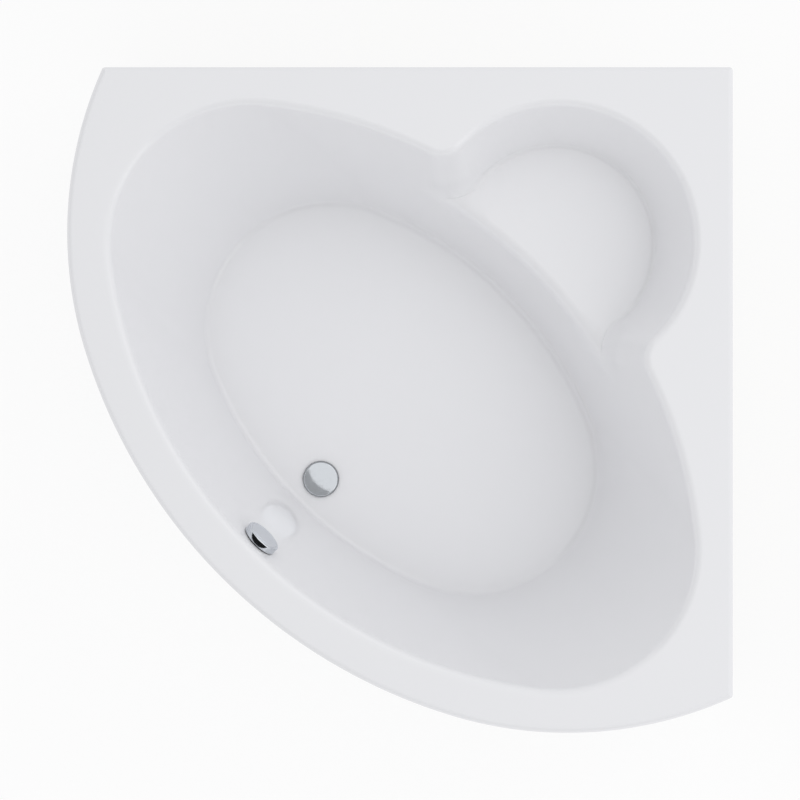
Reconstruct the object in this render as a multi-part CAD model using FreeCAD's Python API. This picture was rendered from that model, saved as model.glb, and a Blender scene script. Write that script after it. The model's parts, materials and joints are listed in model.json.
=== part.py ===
import FreeCAD, Part
import math
import os
from FreeCAD import Vector

# Corner bathtub, in millimetres, +Z up.
# The two straight sides stand against the walls at +X and +Y, and meet at the wall corner.
# The bowed front faces -X and -Y. Most pieces are drawn about the tub's line of symmetry,
# with u across the tub and v from the bow towards the wall corner, and are turned by an
# eighth of a turn when they are saved.

# ---- driving dimensions -------------------------------------------------------------------

# Outline of the rim
OVERALL = 1400.0            # side of the square that the tub fills
RIM_HEIGHT = 620.0          # rim above the floor of the room
BOW_FRONT_RADIUS = 1160.0   # middle arc of the bow
BOW_END_RADIUS = 840.0      # the two arcs beside it
BOW_JOIN_ANGLE = 28.0       # where they join, from the line of symmetry
CORNER_RADIUS = 8.0         # upright corners of the rim
LIP_DROP = 40.0             # turned-down edge
LIP_ROUNDING = 10.0         # its upper edge

# Basin
WALL = 5.0                  # acrylic with its glass-fibre backing
RIM_FRONT = 88.0            # width of the rim at the middle of the bow
RIM_ROUNDING = 20.0         # from the rim into the basin
RIM_REAR = 525.0            # from the wall corner to the rear of the basin, under the seat
RIM_END = 184.7             # from the ends of the bow to the basin, across the tub
BATH_DEPTH = 420.0
BASIN_FRONT_RADIUS = 1043.0
BASIN_REAR_RADIUS = 1019.0
FLOOR_FRONT_RADIUS = 844.0
FLOOR_REAR_RADIUS = 816.0
FRONT_RUN = 124.0           # how far the front wall leans in from rim to floor
REAR_RUN = 134.0            # the rear wall
END_RUN = 256.5             # the two sloping ends
FLOOR_ROUNDING = 30.0

# Corner seat
RIM_CORNER = 230.0          # from the wall corner to the seat's pocket
SEAT_RADIUS = 288.0         # pocket at the rim
SEAT_FLOOR_RADIUS = 214.0
SEAT_DEPTH = 200.0
SEAT_ROUNDING = 22.0        # round the back of the seat
SEAT_EDGE_ROUNDING = 30.0   # its front edge, over the basin
SHOULDER_ROUNDING = 60.0    # where the pocket opens into the basin

# Boards and battens bonded under the shell
BOARD_THICKNESS = 18.0
BOARD_MARGIN = 45.0         # floor board inside the floor's outline
BOARD_HOLE_RADIUS = 58.0    # round the waste
SEAT_BOARD_THICKNESS = 12.0
SEAT_BOARD_RADIUS = 165.0
SEAT_BOARD_MARGIN = 44.0    # behind the front edge of the seat
BATTEN_WIDTH = 40.0
BATTEN_HEIGHT = 22.0
BATTEN_LIP_GAP = 6.0
BATTEN_END_GAP = 70.0        # short of the ends of the bow
RIM_BLOCK_SIZE = 56.0
RIM_BLOCK_THICKNESS = 12.0

# Steel cradle
CHANNEL_WIDTH = 40.0
CHANNEL_HEIGHT = 30.0
CHANNEL_WALL = 2.5
CHANNEL_ROUNDING = 4.0
CROSS_CHANNEL_V = 30.0
CROSS_CHANNEL_INSET = 61.7   # its ends, inside the ends of the bow
FRONT_CHANNEL_U = 200.0
FRONT_CHANNEL_REACH = 40.0   # its end, behind the rim's edge
REAR_CHANNEL_REACH = 115.0
BUTT_GAP = 0.5
POST_SIZE = 25.0
POST_WALL = 2.0
POST_END_MARGIN = 8.0       # post inside the end of its channel
FOOT_POST_DISTANCE = 60.0

# Adjustable feet
STUD_RADIUS = 6.0
STUD_ABOVE = 38.0           # stud above the channel
STUD_BORE_GAP = 0.4
STUD_SOCKET_GAP = 0.15
PAD_RADIUS = 30.0
PAD_NECK_RADIUS = 13.0
PAD_HEIGHT = 24.0
PAD_EDGE = 7.0
PAD_FLOOR = 6.0
PAD_BEVEL = 2.0
PAD_SLOPE = 5.0             # rise from the pad's edge to its neck
STUD_CHAMFER = 1.0
NUT_RADIUS = 11.0           # to the corners of the hexagon
NUT_HEIGHT = 9.0

# Front panel
PANEL_INSET = 3.0           # behind the face of the lip
PANEL_THICKNESS = 4.0
PANEL_TOP_GAP = 3.0
PANEL_FLOOR_GAP = 10.0
PANEL_FLANGE = 14.0
PANEL_END_GAP = 3.0
PANEL_EDGE_ROUNDING = 2.0
PLINTH_HEIGHT = 70.0        # recessed foot of the panel
PLINTH_RECESS = 8.0
CATCH_WIDTH = 26.0
CATCH_HEIGHT = 30.0
CATCH_SHEET = 2.0
CATCH_GAP = 0.3
CATCH_LOWER_Z = 200.0
CATCH_UPPER_DROP = 70.0     # below the rim
CLIP_WIDTH = 24.0
CLIP_HOLD = 36.0            # along the batten

# Waste in the floor
DRAIN_SETBACK = 194.0       # behind the front edge of the basin
WASTE_HOLE_RADIUS = 27.0
FLANGE_RADIUS = 40.0
FLANGE_THICKNESS = 3.0
TAIL_RADIUS = 25.0
TAIL_BORE_RADIUS = 22.0
TAIL_LENGTH = 34.0
GASKET_THICKNESS = 2.0
GASKET_SETBACK = 3.0        # inside the edge of its flange
HUB_RADIUS = 5.5
HUB_HEIGHT = 5.0
SPOKE_WIDTH = 3.0
PLUG_RADIUS = 37.0
PLUG_THICKNESS = 5.0
PLUG_ROUNDING = 1.8
PLUG_GAP = 0.6
PLUG_LIFT = 10.0
SEAT_CONE = 4.0             # cone inside the flange that the plug's seal closes on
FLANGE_BEVEL = 1.2
SEAL_LIP = 1.5              # seal outside the flange's bore, and its foot inside it
SEAL_TUCK = 1.0
STEM_RADIUS = 3.0
RUNNING_GAP = 0.3
BODY_RADIUS = 29.5
BODY_TAPER = 4.0            # from the body to its outlet
BODY_SUMP = 6.0             # below the tail inside the body
BODY_COLLAR_RADIUS = 40.0
BODY_COLLAR_HEIGHT = 9.0
BODY_HEIGHT = 45.0
THREAD_GAP = 0.3
LEVER_ARM = 16.0
LEVER_TIP_RADIUS = 2.5
LEVER_THICKNESS = 5.0
LEVER_HUB_RADIUS = 4.5
LEVER_CABLE_ARM = 13.0
LEVER_PIN_RADIUS = 2.0
LEVER_PIN_GAP = 0.05
LEVER_PIN_HOLD = 1.5        # how far the pin goes into the body's wall
LEVER_ARM_HEIGHT = 2.5
STEM_BELOW_TAIL = 6.0       # leaves room for the lever's pin under the tail

# Overflow in the front wall
OVERFLOW_DROP = 62.0        # centre below the rim
OVERFLOW_HOLE_RADIUS = 28.0
KNOB_RADIUS = 40.0
KNOB_FACE = 18.0            # face above the wall
KNOB_SKIRT_GAP = 3.0        # water gap under the skirt
KNOB_WALL = 2.5
KNOB_ROUNDING = 2.0
KNOB_HUB_RADIUS = 9.0
SPINDLE_RADIUS = 4.0
OVERFLOW_PLATE_RADIUS = 35.0
OVERFLOW_PLATE_THICKNESS = 3.5
OVERFLOW_GASKET = 1.5
OVERFLOW_TAIL_RADIUS = 26.5
OVERFLOW_TAIL_BORE = 23.5
OVERFLOW_TAIL_LENGTH = 30.0
CHAMBER_RADIUS = 31.0
CHAMBER_DEPTH = 66.0        # behind the face of the wall
CHAMBER_FLANGE_RADIUS = 37.0
CHAMBER_FLANGE = 5.0
CHAMBER_WALL = 4.0
CHAMBER_BEVEL = 3.0
CHAMBER_TO_HOSE = 4.0
REAR_GASKET = 3.0
GASKET_GAP = 0.2            # between a gasket and the curved wall
CRANK_RADIUS = 19.0
CRANK_THICKNESS = 5.0
HOSE_DEPTH = 46.0           # middle of the hose behind the face of the wall
SPIGOT_RADIUS = 12.5
SPIGOT_BORE_RADIUS = 10.0
SPIGOT_LENGTH = 26.0

# Ribbed hose from the overflow to the waste
HOSE_BORE_RADIUS = 13.0
HOSE_ROOT_RADIUS = 15.0
HOSE_CREST_RADIUS = 17.5
HOSE_CUFF_RADIUS = 16.5
HOSE_CUFF_LENGTH = 26.0
HOSE_CUFF_BEVEL = 1.0
HOSE_BEND_RADIUS = 65.0
HOSE_RIB_PITCH = 12.0
RIB_RISE_END = 0.25         # shares of a rib's pitch
RIB_CREST_END = 0.6
RIB_FALL_END = 0.85
HOSE_UNDER_BODY = 2.0       # hose spigot above the bottom of the body
HOSE_CLIP_WIDTH = 9.0
HOSE_CLIP_THICKNESS = 1.2

# Pull cable beside the hose
CABLE_RADIUS = 3.0
GLAND_RADIUS = 6.0
GLAND_LENGTH = 14.0
CABLE_SIDE = 25.0           # beside the middle of the overflow
CABLE_LOW_SIDE = 128.0      # where it turns in to the waste
CABLE_STRAIGHT = 120.0      # down the wall beside the hose
CABLE_ASIDE_UP = 65.0       # passing corner of the route, above and behind the hose's bend
CABLE_ASIDE_BACK = 20.0
CABLE_UNDER_SIDE = 8.0      # last corner before it turns in
CABLE_UNDER_BACK = 85.0
CABLE_UNDER_UP = 34.0
CABLE_TANGENT = 0.45        # share of the shorter run that each arc takes
GLAND_SEAT = 3.0

# Trap below the waste
TRAP_SPIGOT_RADIUS = 20.0
TRAP_SPIGOT_WALL = 3.0
TRAP_SPIGOT_LENGTH = 34.0
TRAP_RADIUS = 41.0
TRAP_WALL = 3.0
TRAP_DROP = 36.0            # top of the trap below the waste's body
TRAP_HEIGHT = 68.0
TRAP_SOCKET_HEIGHT = 14.0
TRAP_SOCKET_GAP = 0.5
TRAP_NUT_RADIUS = 33.0
TRAP_NUT_HEIGHT = 22.0
TRAP_CUP_DROP = 24.0        # bottom of the cup below the trap
TRAP_CUP_RADIUS = 45.0
TRAP_CUP_OVERLAP = 14.0
TRAP_CUP_BEVEL = 8.0
TRAP_CUP_INNER_BEVEL = 7.0
TRAP_BEVEL = 3.0
TRAP_SEAL_HEIGHT = 4.0
TRAP_FIT = 1.0              # spigot above the socket's floor, nut above the chamber
TRAP_WAY_IN = 2.0           # outlet's bore beyond the dip tube
TRAP_CUP_GRIPS = 12
TRAP_GRIP_RADIUS = 4.0
TRAP_GRIP_DEPTH = 1.2
OUTLET_DROP = 28.0          # its middle below the top of the trap
OUTLET_TURN = -45.0         # from the line of symmetry, so that it runs square to the wall
OUTLET_RADIUS = 20.0
OUTLET_WALL = 3.0
OUTLET_SEAT_STEP = 1.0      # slimmer where it sits in the trap
OUTLET_BOSS_LENGTH = 24.0
OUTLET_NUT_RADIUS = 29.0
OUTLET_NUT_LENGTH = 24.0
OUTLET_NUT_OVERHANG = 6.0
OUTLET_NUT_SHOULDER = 5.0
PLASTIC_NUT_SIDES = 12
OUTLET_REACH = 70.0         # free end of the pipe, beyond its nut

# Wall brackets and screws
BRACKET_LENGTH = 50.0
BRACKET_SHEET = 2.5
BRACKET_DROP = 55.0
BRACKET_WIDTH = 36.0
BRACKET_HOLE_RADIUS = 3.5
BRACKET_HOLE_SPACING = 26.0
BRACKET_HOLE_UP = 12.0      # above the bracket's lower edge
BRACKET_LIP_GAP = 0.5
BRACKET_FROM_BOW = 131.5    # from the batten's end at the bow
BRACKET_FROM_CORNER = 269.0
SCREW_RADIUS = 2.2
SCREW_HEAD_RADIUS = 4.6
SCREW_HEAD_HEIGHT = 3.0
SCREW_LENGTH = 14.0
SCREW_HOLE_GAP = 0.4
SCREW_HOLE_EXTRA = 1.0      # hole deeper than the screw

NEAR = 0.01                 # for comparing places

# ---- worked out from these ------------------------------------------------------------------

APEX = OVERALL / math.sqrt(2)
BOW_JOIN = math.radians(BOW_JOIN_ANGLE)
BOW_STEP = BOW_FRONT_RADIUS - BOW_END_RADIUS
BOW_DEPTH = (
    (OVERALL - BOW_END_RADIUS) * math.sqrt(2)
    - BOW_STEP * (math.sin(BOW_JOIN) + math.cos(BOW_JOIN))
    + BOW_FRONT_RADIUS
)
BOW_FRONT = APEX - BOW_DEPTH
BOW_FRONT_CENTRE = BOW_FRONT + BOW_FRONT_RADIUS
BOW_END_U = BOW_STEP * math.sin(BOW_JOIN)
BOW_END_V = BOW_FRONT_CENTRE - BOW_STEP * math.cos(BOW_JOIN)

# An end of the bow: where its arc meets the line of the wall.
BOW_TIP_AWAY = (APEX - BOW_END_U - BOW_END_V) / math.sqrt(2)
BOW_TIP_ALONG = math.sqrt(BOW_END_RADIUS**2 - BOW_TIP_AWAY**2)
BOW_TIP_U = BOW_END_U + (BOW_TIP_AWAY + BOW_TIP_ALONG) / math.sqrt(2)
CROSS_CHANNEL_LENGTH = 2 * (BOW_TIP_U - CROSS_CHANNEL_INSET)

BASIN_FRONT = BOW_FRONT + RIM_FRONT
BASIN_WIDTH = APEX - RIM_REAR - BASIN_FRONT
BASIN_LENGTH = 2 * (BOW_TIP_U - RIM_END)
FLOOR_FRONT = BASIN_FRONT + FRONT_RUN
FLOOR_WIDTH = BASIN_WIDTH - FRONT_RUN - REAR_RUN
FLOOR_LENGTH = BASIN_LENGTH - 2 * END_RUN
FLOOR_Z = RIM_HEIGHT - BATH_DEPTH
SEAT_Z = RIM_HEIGHT - SEAT_DEPTH
SEAT_V = APEX - RIM_CORNER - SEAT_RADIUS
RIM_UNDERSIDE = RIM_HEIGHT - WALL
SHELL_UNDERSIDE = FLOOR_Z - WALL
BOARD_UNDERSIDE = SHELL_UNDERSIDE - BOARD_THICKNESS
CHANNEL_BOTTOM = BOARD_UNDERSIDE - CHANNEL_HEIGHT

DRAIN_V = BASIN_FRONT + DRAIN_SETBACK
FLANGE_UNDERSIDE = FLOOR_Z + GASKET_THICKNESS
FLANGE_TOP = FLANGE_UNDERSIDE + FLANGE_THICKNESS
TAIL_BOTTOM = FLANGE_UNDERSIDE - TAIL_LENGTH
BODY_TOP = SHELL_UNDERSIDE - GASKET_THICKNESS
BODY_BOTTOM = BODY_TOP - BODY_HEIGHT
BODY_BORE_RADIUS = TAIL_RADIUS + THREAD_GAP
STEM_BOTTOM = TAIL_BOTTOM - STEM_BELOW_TAIL
HALF_SWING = math.asin(PLUG_LIFT / (2 * LEVER_ARM))
LEVER_Z = STEM_BOTTOM - RUNNING_GAP - LEVER_TIP_RADIUS + LEVER_ARM * math.sin(HALF_SWING)
LEVER_U = LEVER_ARM * math.cos(HALF_SWING)
CABLE_LOW_Z = LEVER_Z - LEVER_CABLE_ARM
HOSE_LOW_Z = BODY_BOTTOM + SPIGOT_RADIUS + HOSE_UNDER_BODY
TRAP_TOP_Z = BODY_BOTTOM - TRAP_DROP
TRAP_BODY_Z = TRAP_TOP_Z - TRAP_HEIGHT
TRAP_CUP_Z = TRAP_BODY_Z - TRAP_CUP_DROP
OUTLET_Z = TRAP_TOP_Z - OUTLET_DROP
OUTLET_SEAT_RADIUS = OUTLET_RADIUS - OUTLET_SEAT_STEP

WALL_LEAN = math.atan2(FRONT_RUN, BATH_DEPTH)
OVERFLOW_V = BASIN_FRONT + OVERFLOW_DROP * math.tan(WALL_LEAN)
OVERFLOW_Z = RIM_HEIGHT - OVERFLOW_DROP
WALL_NORMAL = WALL * math.cos(WALL_LEAN)
CHAMBER_FRONT = WALL_NORMAL + REAR_GASKET


# ---- helpers --------------------------------------------------------------------------------


def cylinder(radius, height, base, axis=Vector(0, 0, 1)):
    return Part.makeCylinder(radius, height, base, axis)


def ring(outer, inner, height, base, axis=Vector(0, 0, 1)):
    return cylinder(outer, height, base, axis).cut(cylinder(inner, height, base, axis))


def block(u0, u1, v0, v1, z0, z1):
    return Part.makeBox(u1 - u0, v1 - v0, z1 - z0, Vector(u0, v0, z0))


def prism(wire, height):
    return Part.Face(wire).extrude(Vector(0, 0, height))


def turned(points):
    """Solid of revolution about Z from (radius, z) points."""
    corners = [Vector(r, 0, z) for r, z in points]
    wire = Part.makePolygon(corners + corners[:1])
    return Part.Face(wire).revolve(Vector(0, 0, 0), Vector(0, 0, 1), 360)


def regular_prism(sides, radius, height, base):
    corners = []
    for side in range(sides + 1):
        angle = 2 * math.pi * side / sides
        corners.append(base + Vector(radius * math.cos(angle), radius * math.sin(angle), 0))
    return prism(Part.makePolygon(corners), height)


def moved(shape, offset):
    copy = shape.copy()
    copy.translate(offset)
    return copy


def mirrored(shape):
    """The same piece on the other side of the line of symmetry."""
    return shape.mirror(Vector(0, 0, 0), Vector(1, 0, 0))


def fuse_all(shapes):
    result = shapes[0]
    for shape in shapes[1:]:
        result = result.fuse(shape)
    return result.removeSplitter()


def only_solid(shape):
    return shape.Solids[0]


def flat_edges(shape, z):
    """Edges that lie at one height."""
    result = []
    for edge in shape.Edges:
        box = edge.BoundBox
        if max(abs(box.ZMin - z), abs(box.ZMax - z)) < NEAR:
            result.append(edge)
    return result


def upright_edges(shape):
    result = []
    for edge in shape.Edges:
        box = edge.BoundBox
        if box.ZLength > NEAR and max(box.XLength, box.YLength) < NEAR:
            result.append(edge)
    return result


def middle(edge):
    return edge.valueAt((edge.FirstParameter + edge.LastParameter) / 2)


# ---- outline of the tub ---------------------------------------------------------------------


def bow_corner(inset, wall_inset):
    """Where an end arc of the bow meets the line of the wall."""
    wall = APEX - math.sqrt(2) * wall_inset
    away = (wall - BOW_END_U - BOW_END_V) / math.sqrt(2)
    along = math.sqrt((BOW_END_RADIUS - inset) ** 2 - away**2)
    u = BOW_END_U + (away + along) / math.sqrt(2)
    v = BOW_END_V + (away - along) / math.sqrt(2)
    return u, v


def bow_arcs(inset, wall_inset, z):
    """The three arcs of the bow, from the left end to the right end."""
    corner_u, corner_v = bow_corner(inset, wall_inset)
    front = BOW_FRONT_RADIUS - inset
    end = BOW_END_RADIUS - inset
    join = Vector(front * math.sin(BOW_JOIN), BOW_FRONT_CENTRE - front * math.cos(BOW_JOIN), z)
    corner_angle = math.atan2(corner_u - BOW_END_U, BOW_END_V - corner_v)
    half = (BOW_JOIN + corner_angle) / 2
    end_middle = Vector(BOW_END_U + end * math.sin(half), BOW_END_V - end * math.cos(half), z)
    corner = Vector(corner_u, corner_v, z)
    left = [Vector(-p.x, p.y, z) for p in (corner, end_middle, join)]
    return [
        Part.Arc(left[0], left[1], left[2]).toShape(),
        Part.Arc(left[2], Vector(0, BOW_FRONT + inset, z), join).toShape(),
        Part.Arc(join, end_middle, corner).toShape(),
    ]


def tub_outline(inset, z):
    u, v = bow_corner(inset, inset)
    apex = Vector(0, APEX - math.sqrt(2) * inset, z)
    right = Part.LineSegment(Vector(u, v, z), apex).toShape()
    left = Part.LineSegment(apex, Vector(-u, v, z)).toShape()
    return Part.Wire(bow_arcs(inset, inset, z) + [right, left])


def bow_band(outer, inner, end_gap, z0, z1):
    """A strip that follows the bow, between two insets and two heights."""
    front = bow_arcs(outer, end_gap, z0)
    back = bow_arcs(inner, end_gap, z0)
    right = Part.LineSegment(front[2].lastVertex().Point, back[2].lastVertex().Point).toShape()
    left = Part.LineSegment(back[0].firstVertex().Point, front[0].firstVertex().Point).toShape()
    edges = front + [right] + back + [left]
    return prism(Part.Wire(Part.__sortEdges__(edges)), z1 - z0)


def basin_outline(front, width, length, front_radius, rear_radius, z, grow):
    """Four tangent arcs, long ones at front and rear, and one round each end.

    The end arcs' radius and centre follow from touching both long arcs at this length.
    """
    front = front - grow
    rear = front + width + 2 * grow
    half = length / 2 + grow
    front_radius = front_radius + grow
    rear_radius = rear_radius + grow
    front_centre = front + front_radius
    rear_centre = rear - rear_radius
    spread = front_centre - rear_centre
    offset = (front_centre**2 - rear_centre**2 - front_radius**2 + rear_radius**2) / (2 * spread)
    slope = (front_radius - rear_radius) / spread
    square = slope**2
    linear = 2 * slope * (offset - front_centre) - 2 * half + 2 * front_radius
    constant = half**2 + (offset - front_centre) ** 2 - front_radius**2
    end_radius = -2 * constant / (linear + math.sqrt(linear**2 - 4 * square * constant))
    end_v = offset + slope * end_radius
    end_u = half - end_radius
    front_angle = math.atan2(end_u, front_centre - end_v)
    rear_angle = math.atan2(end_u, end_v - rear_centre)
    front_join = Vector(
        front_radius * math.sin(front_angle), front_centre - front_radius * math.cos(front_angle), z
    )
    rear_join = Vector(
        rear_radius * math.sin(rear_angle), rear_centre + rear_radius * math.cos(rear_angle), z
    )
    turn = (front_angle - rear_angle) / 2
    end = Vector(end_u + end_radius * math.cos(turn), end_v + end_radius * math.sin(turn), z)
    left = [Vector(-p.x, p.y, z) for p in (front_join, end, rear_join)]
    return Part.Wire(
        [
            Part.Arc(left[0], Vector(0, front, z), front_join).toShape(),
            Part.Arc(front_join, end, rear_join).toShape(),
            Part.Arc(rear_join, Vector(0, rear, z), left[2]).toShape(),
            Part.Arc(left[2], left[1], left[0]).toShape(),
        ]
    )


def floor_outline(z, grow):
    return basin_outline(
        FLOOR_FRONT, FLOOR_WIDTH, FLOOR_LENGTH, FLOOR_FRONT_RADIUS, FLOOR_REAR_RADIUS, z, grow
    )


# ---- moulded shell --------------------------------------------------------------------------


def seat_edges(form):
    """Edges where the seat's pocket runs into the basin, with the kind of seat face beside each."""
    found = []
    for number, edge in enumerate(form.Edges, 1):
        point = middle(edge)
        if point.z < SEAT_Z - 2 * WALL or point.z > RIM_HEIGHT - 1:
            continue
        kinds = {type(f.Surface).__name__ for f in form.ancestorsOfType(edge, Part.Face)}
        seat_kind = kinds & {"Cone", "Toroid", "Plane"}
        if "BSplineSurface" in kinds and seat_kind:
            found.append((number, edge, seat_kind.pop()))
    return found


def rounded_seat_edges(form, shoulder, edge_radius):
    """Rounds the shoulders widely and the seat's front edge tightly, in one run of edges."""
    document = FreeCAD.newDocument()
    base = document.addObject("Part::Feature", "Form")
    base.Shape = form
    rounded = document.addObject("Part::Fillet", "Rounded")
    rounded.Base = base
    rows = []
    for number, edge, kind in seat_edges(form):
        if kind == "Cone":
            rows.append((number, shoulder, shoulder))
        elif kind == "Plane":
            rows.append((number, edge_radius, edge_radius))
        elif edge.valueAt(edge.FirstParameter).z > edge.valueAt(edge.LastParameter).z:
            rows.append((number, shoulder, edge_radius))
        else:
            rows.append((number, edge_radius, shoulder))
    rounded.Edges = rows
    document.recompute()
    shape = rounded.Shape.copy()
    FreeCAD.closeDocument(document.Name)
    return only_solid(shape)


def basin_form(grow):
    """The space inside the basin and the seat, or the same form grown by the wall."""
    top = basin_outline(
        BASIN_FRONT, BASIN_WIDTH, BASIN_LENGTH, BASIN_FRONT_RADIUS, BASIN_REAR_RADIUS, RIM_HEIGHT, grow
    )
    bottom_z = FLOOR_Z - grow
    basin = Part.makeLoft([floor_outline(bottom_z, grow), top], True, True)
    basin = basin.makeFillet(FLOOR_ROUNDING + grow, flat_edges(basin, bottom_z))
    seat_z = SEAT_Z - grow
    seat = Part.makeCone(
        SEAT_FLOOR_RADIUS + grow, SEAT_RADIUS + grow, SEAT_DEPTH + grow, Vector(0, SEAT_V, seat_z)
    )
    seat = seat.makeFillet(SEAT_ROUNDING + grow, flat_edges(seat, seat_z))
    form = only_solid(basin.fuse(seat).removeSplitter())
    return rounded_seat_edges(form, SHOULDER_ROUNDING - grow, SEAT_EDGE_ROUNDING - grow)


def rim_block_form(inset, rounding, corner, z0, z1):
    """Slab with the tub's outline, with its upright corners and its upper edge rounded."""
    slab = prism(tub_outline(inset, z0), z1 - z0)
    slab = slab.makeFillet(corner, [e for e in upright_edges(slab) if is_outer_corner(e)])
    return slab.makeFillet(rounding, flat_edges(slab, z1))


def is_outer_corner(edge):
    """The wall corner and the two ends of the bow, but not where the bow's arcs run together."""
    return edge.BoundBox.YMin > APEX / 2 or abs(edge.BoundBox.XMin) > OVERALL / 2


def basin_mouth(shape, z):
    """Edges round the opening at one height, without those round the rim's outside."""
    inside = Part.Face(tub_outline(2 * LIP_ROUNDING, z))
    return [e for e in flat_edges(shape, z) if inside.isInside(middle(e), NEAR, True)]


def tub_shell():
    skirt_bottom = RIM_HEIGHT - LIP_DROP
    slab = rim_block_form(0, LIP_ROUNDING, CORNER_RADIUS, skirt_bottom, RIM_HEIGHT)
    hollow = rim_block_form(WALL, LIP_ROUNDING - WALL, CORNER_RADIUS - WALL, skirt_bottom, RIM_UNDERSIDE)
    rim = slab.cut(hollow)
    shell = only_solid(rim.fuse(basin_form(WALL)).removeSplitter())
    shell = shell.makeFillet(RIM_ROUNDING - WALL, basin_mouth(shell, RIM_UNDERSIDE))
    shell = only_solid(shell.cut(basin_form(0)))
    shell = shell.makeFillet(RIM_ROUNDING, basin_mouth(shell, RIM_HEIGHT))
    waste_hole = cylinder(WASTE_HOLE_RADIUS, 4 * WALL, Vector(0, DRAIN_V, FLOOR_Z - 2 * WALL))
    overflow_hole = at_overflow(cylinder(OVERFLOW_HOLE_RADIUS, 4 * WALL, Vector(0, 0, -2 * WALL)))
    return only_solid(shell.cut(waste_hole).cut(overflow_hole))


# ---- boards, battens and blocks -------------------------------------------------------------


def base_board():
    board = prism(floor_outline(BOARD_UNDERSIDE, -BOARD_MARGIN), BOARD_THICKNESS)
    hole = cylinder(BOARD_HOLE_RADIUS, BOARD_THICKNESS, Vector(0, DRAIN_V, BOARD_UNDERSIDE))
    return board.cut(hole)


def seat_front_v():
    """Front edge of the seat on the line of symmetry."""
    share = SEAT_DEPTH / BATH_DEPTH
    rim_rear = BASIN_FRONT + BASIN_WIDTH
    floor_rear = FLOOR_FRONT + FLOOR_WIDTH
    return rim_rear + (floor_rear - rim_rear) * share


def seat_board():
    top = SEAT_Z - WALL
    bottom = top - SEAT_BOARD_THICKNESS
    disc = cylinder(SEAT_BOARD_RADIUS, SEAT_BOARD_THICKNESS, Vector(0, SEAT_V, bottom))
    front = seat_front_v() + SEAT_BOARD_MARGIN
    span = 2 * SEAT_BOARD_RADIUS
    return disc.common(block(-span, span, front, front + span, bottom, top))


def batten_end():
    """The battens stop short of the ends of the bow."""
    corner_u, corner_v = bow_corner(WALL, WALL)
    return (corner_v - corner_u) / math.sqrt(2) + BATTEN_END_GAP


def wall_battens():
    """Battens under the two straight sides, drawn square to the walls."""
    face = OVERALL / 2 - WALL - BATTEN_LIP_GAP
    end = batten_end()
    bottom = RIM_UNDERSIDE - BATTEN_HEIGHT
    right = block(face - BATTEN_WIDTH, face, end, face, bottom, RIM_UNDERSIDE)
    rear_end = face - BATTEN_WIDTH - BUTT_GAP
    rear = block(end, rear_end, face - BATTEN_WIDTH, face, bottom, RIM_UNDERSIDE)
    return right, rear


def post_places():
    """Middle of each post: two at the bow, one at each end, one at the wall corner."""
    front_v = front_channel_end() + POST_END_MARGIN + POST_SIZE / 2
    side_u = CROSS_CHANNEL_LENGTH / 2 - POST_END_MARGIN - POST_SIZE / 2
    corner_v = rear_channel_end() - POST_END_MARGIN - POST_SIZE / 2
    return {
        "front_left": (-FRONT_CHANNEL_U, front_v),
        "front_right": (FRONT_CHANNEL_U, front_v),
        "left": (-side_u, CROSS_CHANNEL_V),
        "right": (side_u, CROSS_CHANNEL_V),
        "corner": (0, corner_v),
    }


def rim_blocks():
    blocks = []
    for place, (u, v) in post_places().items():
        depth = RIM_BLOCK_SIZE / 2
        if place.startswith("front"):
            depth = POST_SIZE / 2
        bottom = RIM_UNDERSIDE - RIM_BLOCK_THICKNESS
        half = RIM_BLOCK_SIZE / 2
        blocks.append(block(u - half, u + half, v - depth, v + depth, bottom, RIM_UNDERSIDE))
    return Part.makeCompound(blocks)


# ---- steel cradle ---------------------------------------------------------------------------


def front_channel_end():
    outline = BOW_FRONT_CENTRE - math.sqrt(BOW_FRONT_RADIUS**2 - FRONT_CHANNEL_U**2)
    return outline + FRONT_CHANNEL_REACH


def rear_channel_end():
    return APEX - REAR_CHANNEL_REACH


def channel(v0, v1):
    """Folded channel, open below, along v, with rounded folds."""
    half = CHANNEL_WIDTH / 2
    outer = block(-half, half, v0, v1, CHANNEL_BOTTOM, BOARD_UNDERSIDE)
    folds = [e for e in flat_edges(outer, BOARD_UNDERSIDE) if e.BoundBox.YLength > CHANNEL_WIDTH]
    outer = outer.makeFillet(CHANNEL_ROUNDING, folds)
    inner_top = BOARD_UNDERSIDE - CHANNEL_WALL
    inner = block(CHANNEL_WALL - half, half - CHANNEL_WALL, v0, v1, CHANNEL_BOTTOM, inner_top)
    folds = [e for e in flat_edges(inner, inner_top) if e.BoundBox.YLength > CHANNEL_WIDTH]
    inner = inner.makeFillet(CHANNEL_ROUNDING - CHANNEL_WALL, folds)
    return outer.cut(inner)


def with_stud_holes(shape, places):
    for u, v in places:
        hole = cylinder(STUD_RADIUS + STUD_BORE_GAP, CHANNEL_HEIGHT, Vector(u, v, CHANNEL_BOTTOM))
        shape = shape.cut(hole)
    return only_solid(shape)


def foot_places():
    posts = post_places()
    front_u, front_v = posts["front_right"]
    side_u, side_v = posts["right"]
    corner_v = posts["corner"][1]
    return [
        (-front_u, front_v + FOOT_POST_DISTANCE),
        (front_u, front_v + FOOT_POST_DISTANCE),
        (FOOT_POST_DISTANCE - side_u, side_v),
        (side_u - FOOT_POST_DISTANCE, side_v),
        (0, corner_v - FOOT_POST_DISTANCE),
    ]


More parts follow.
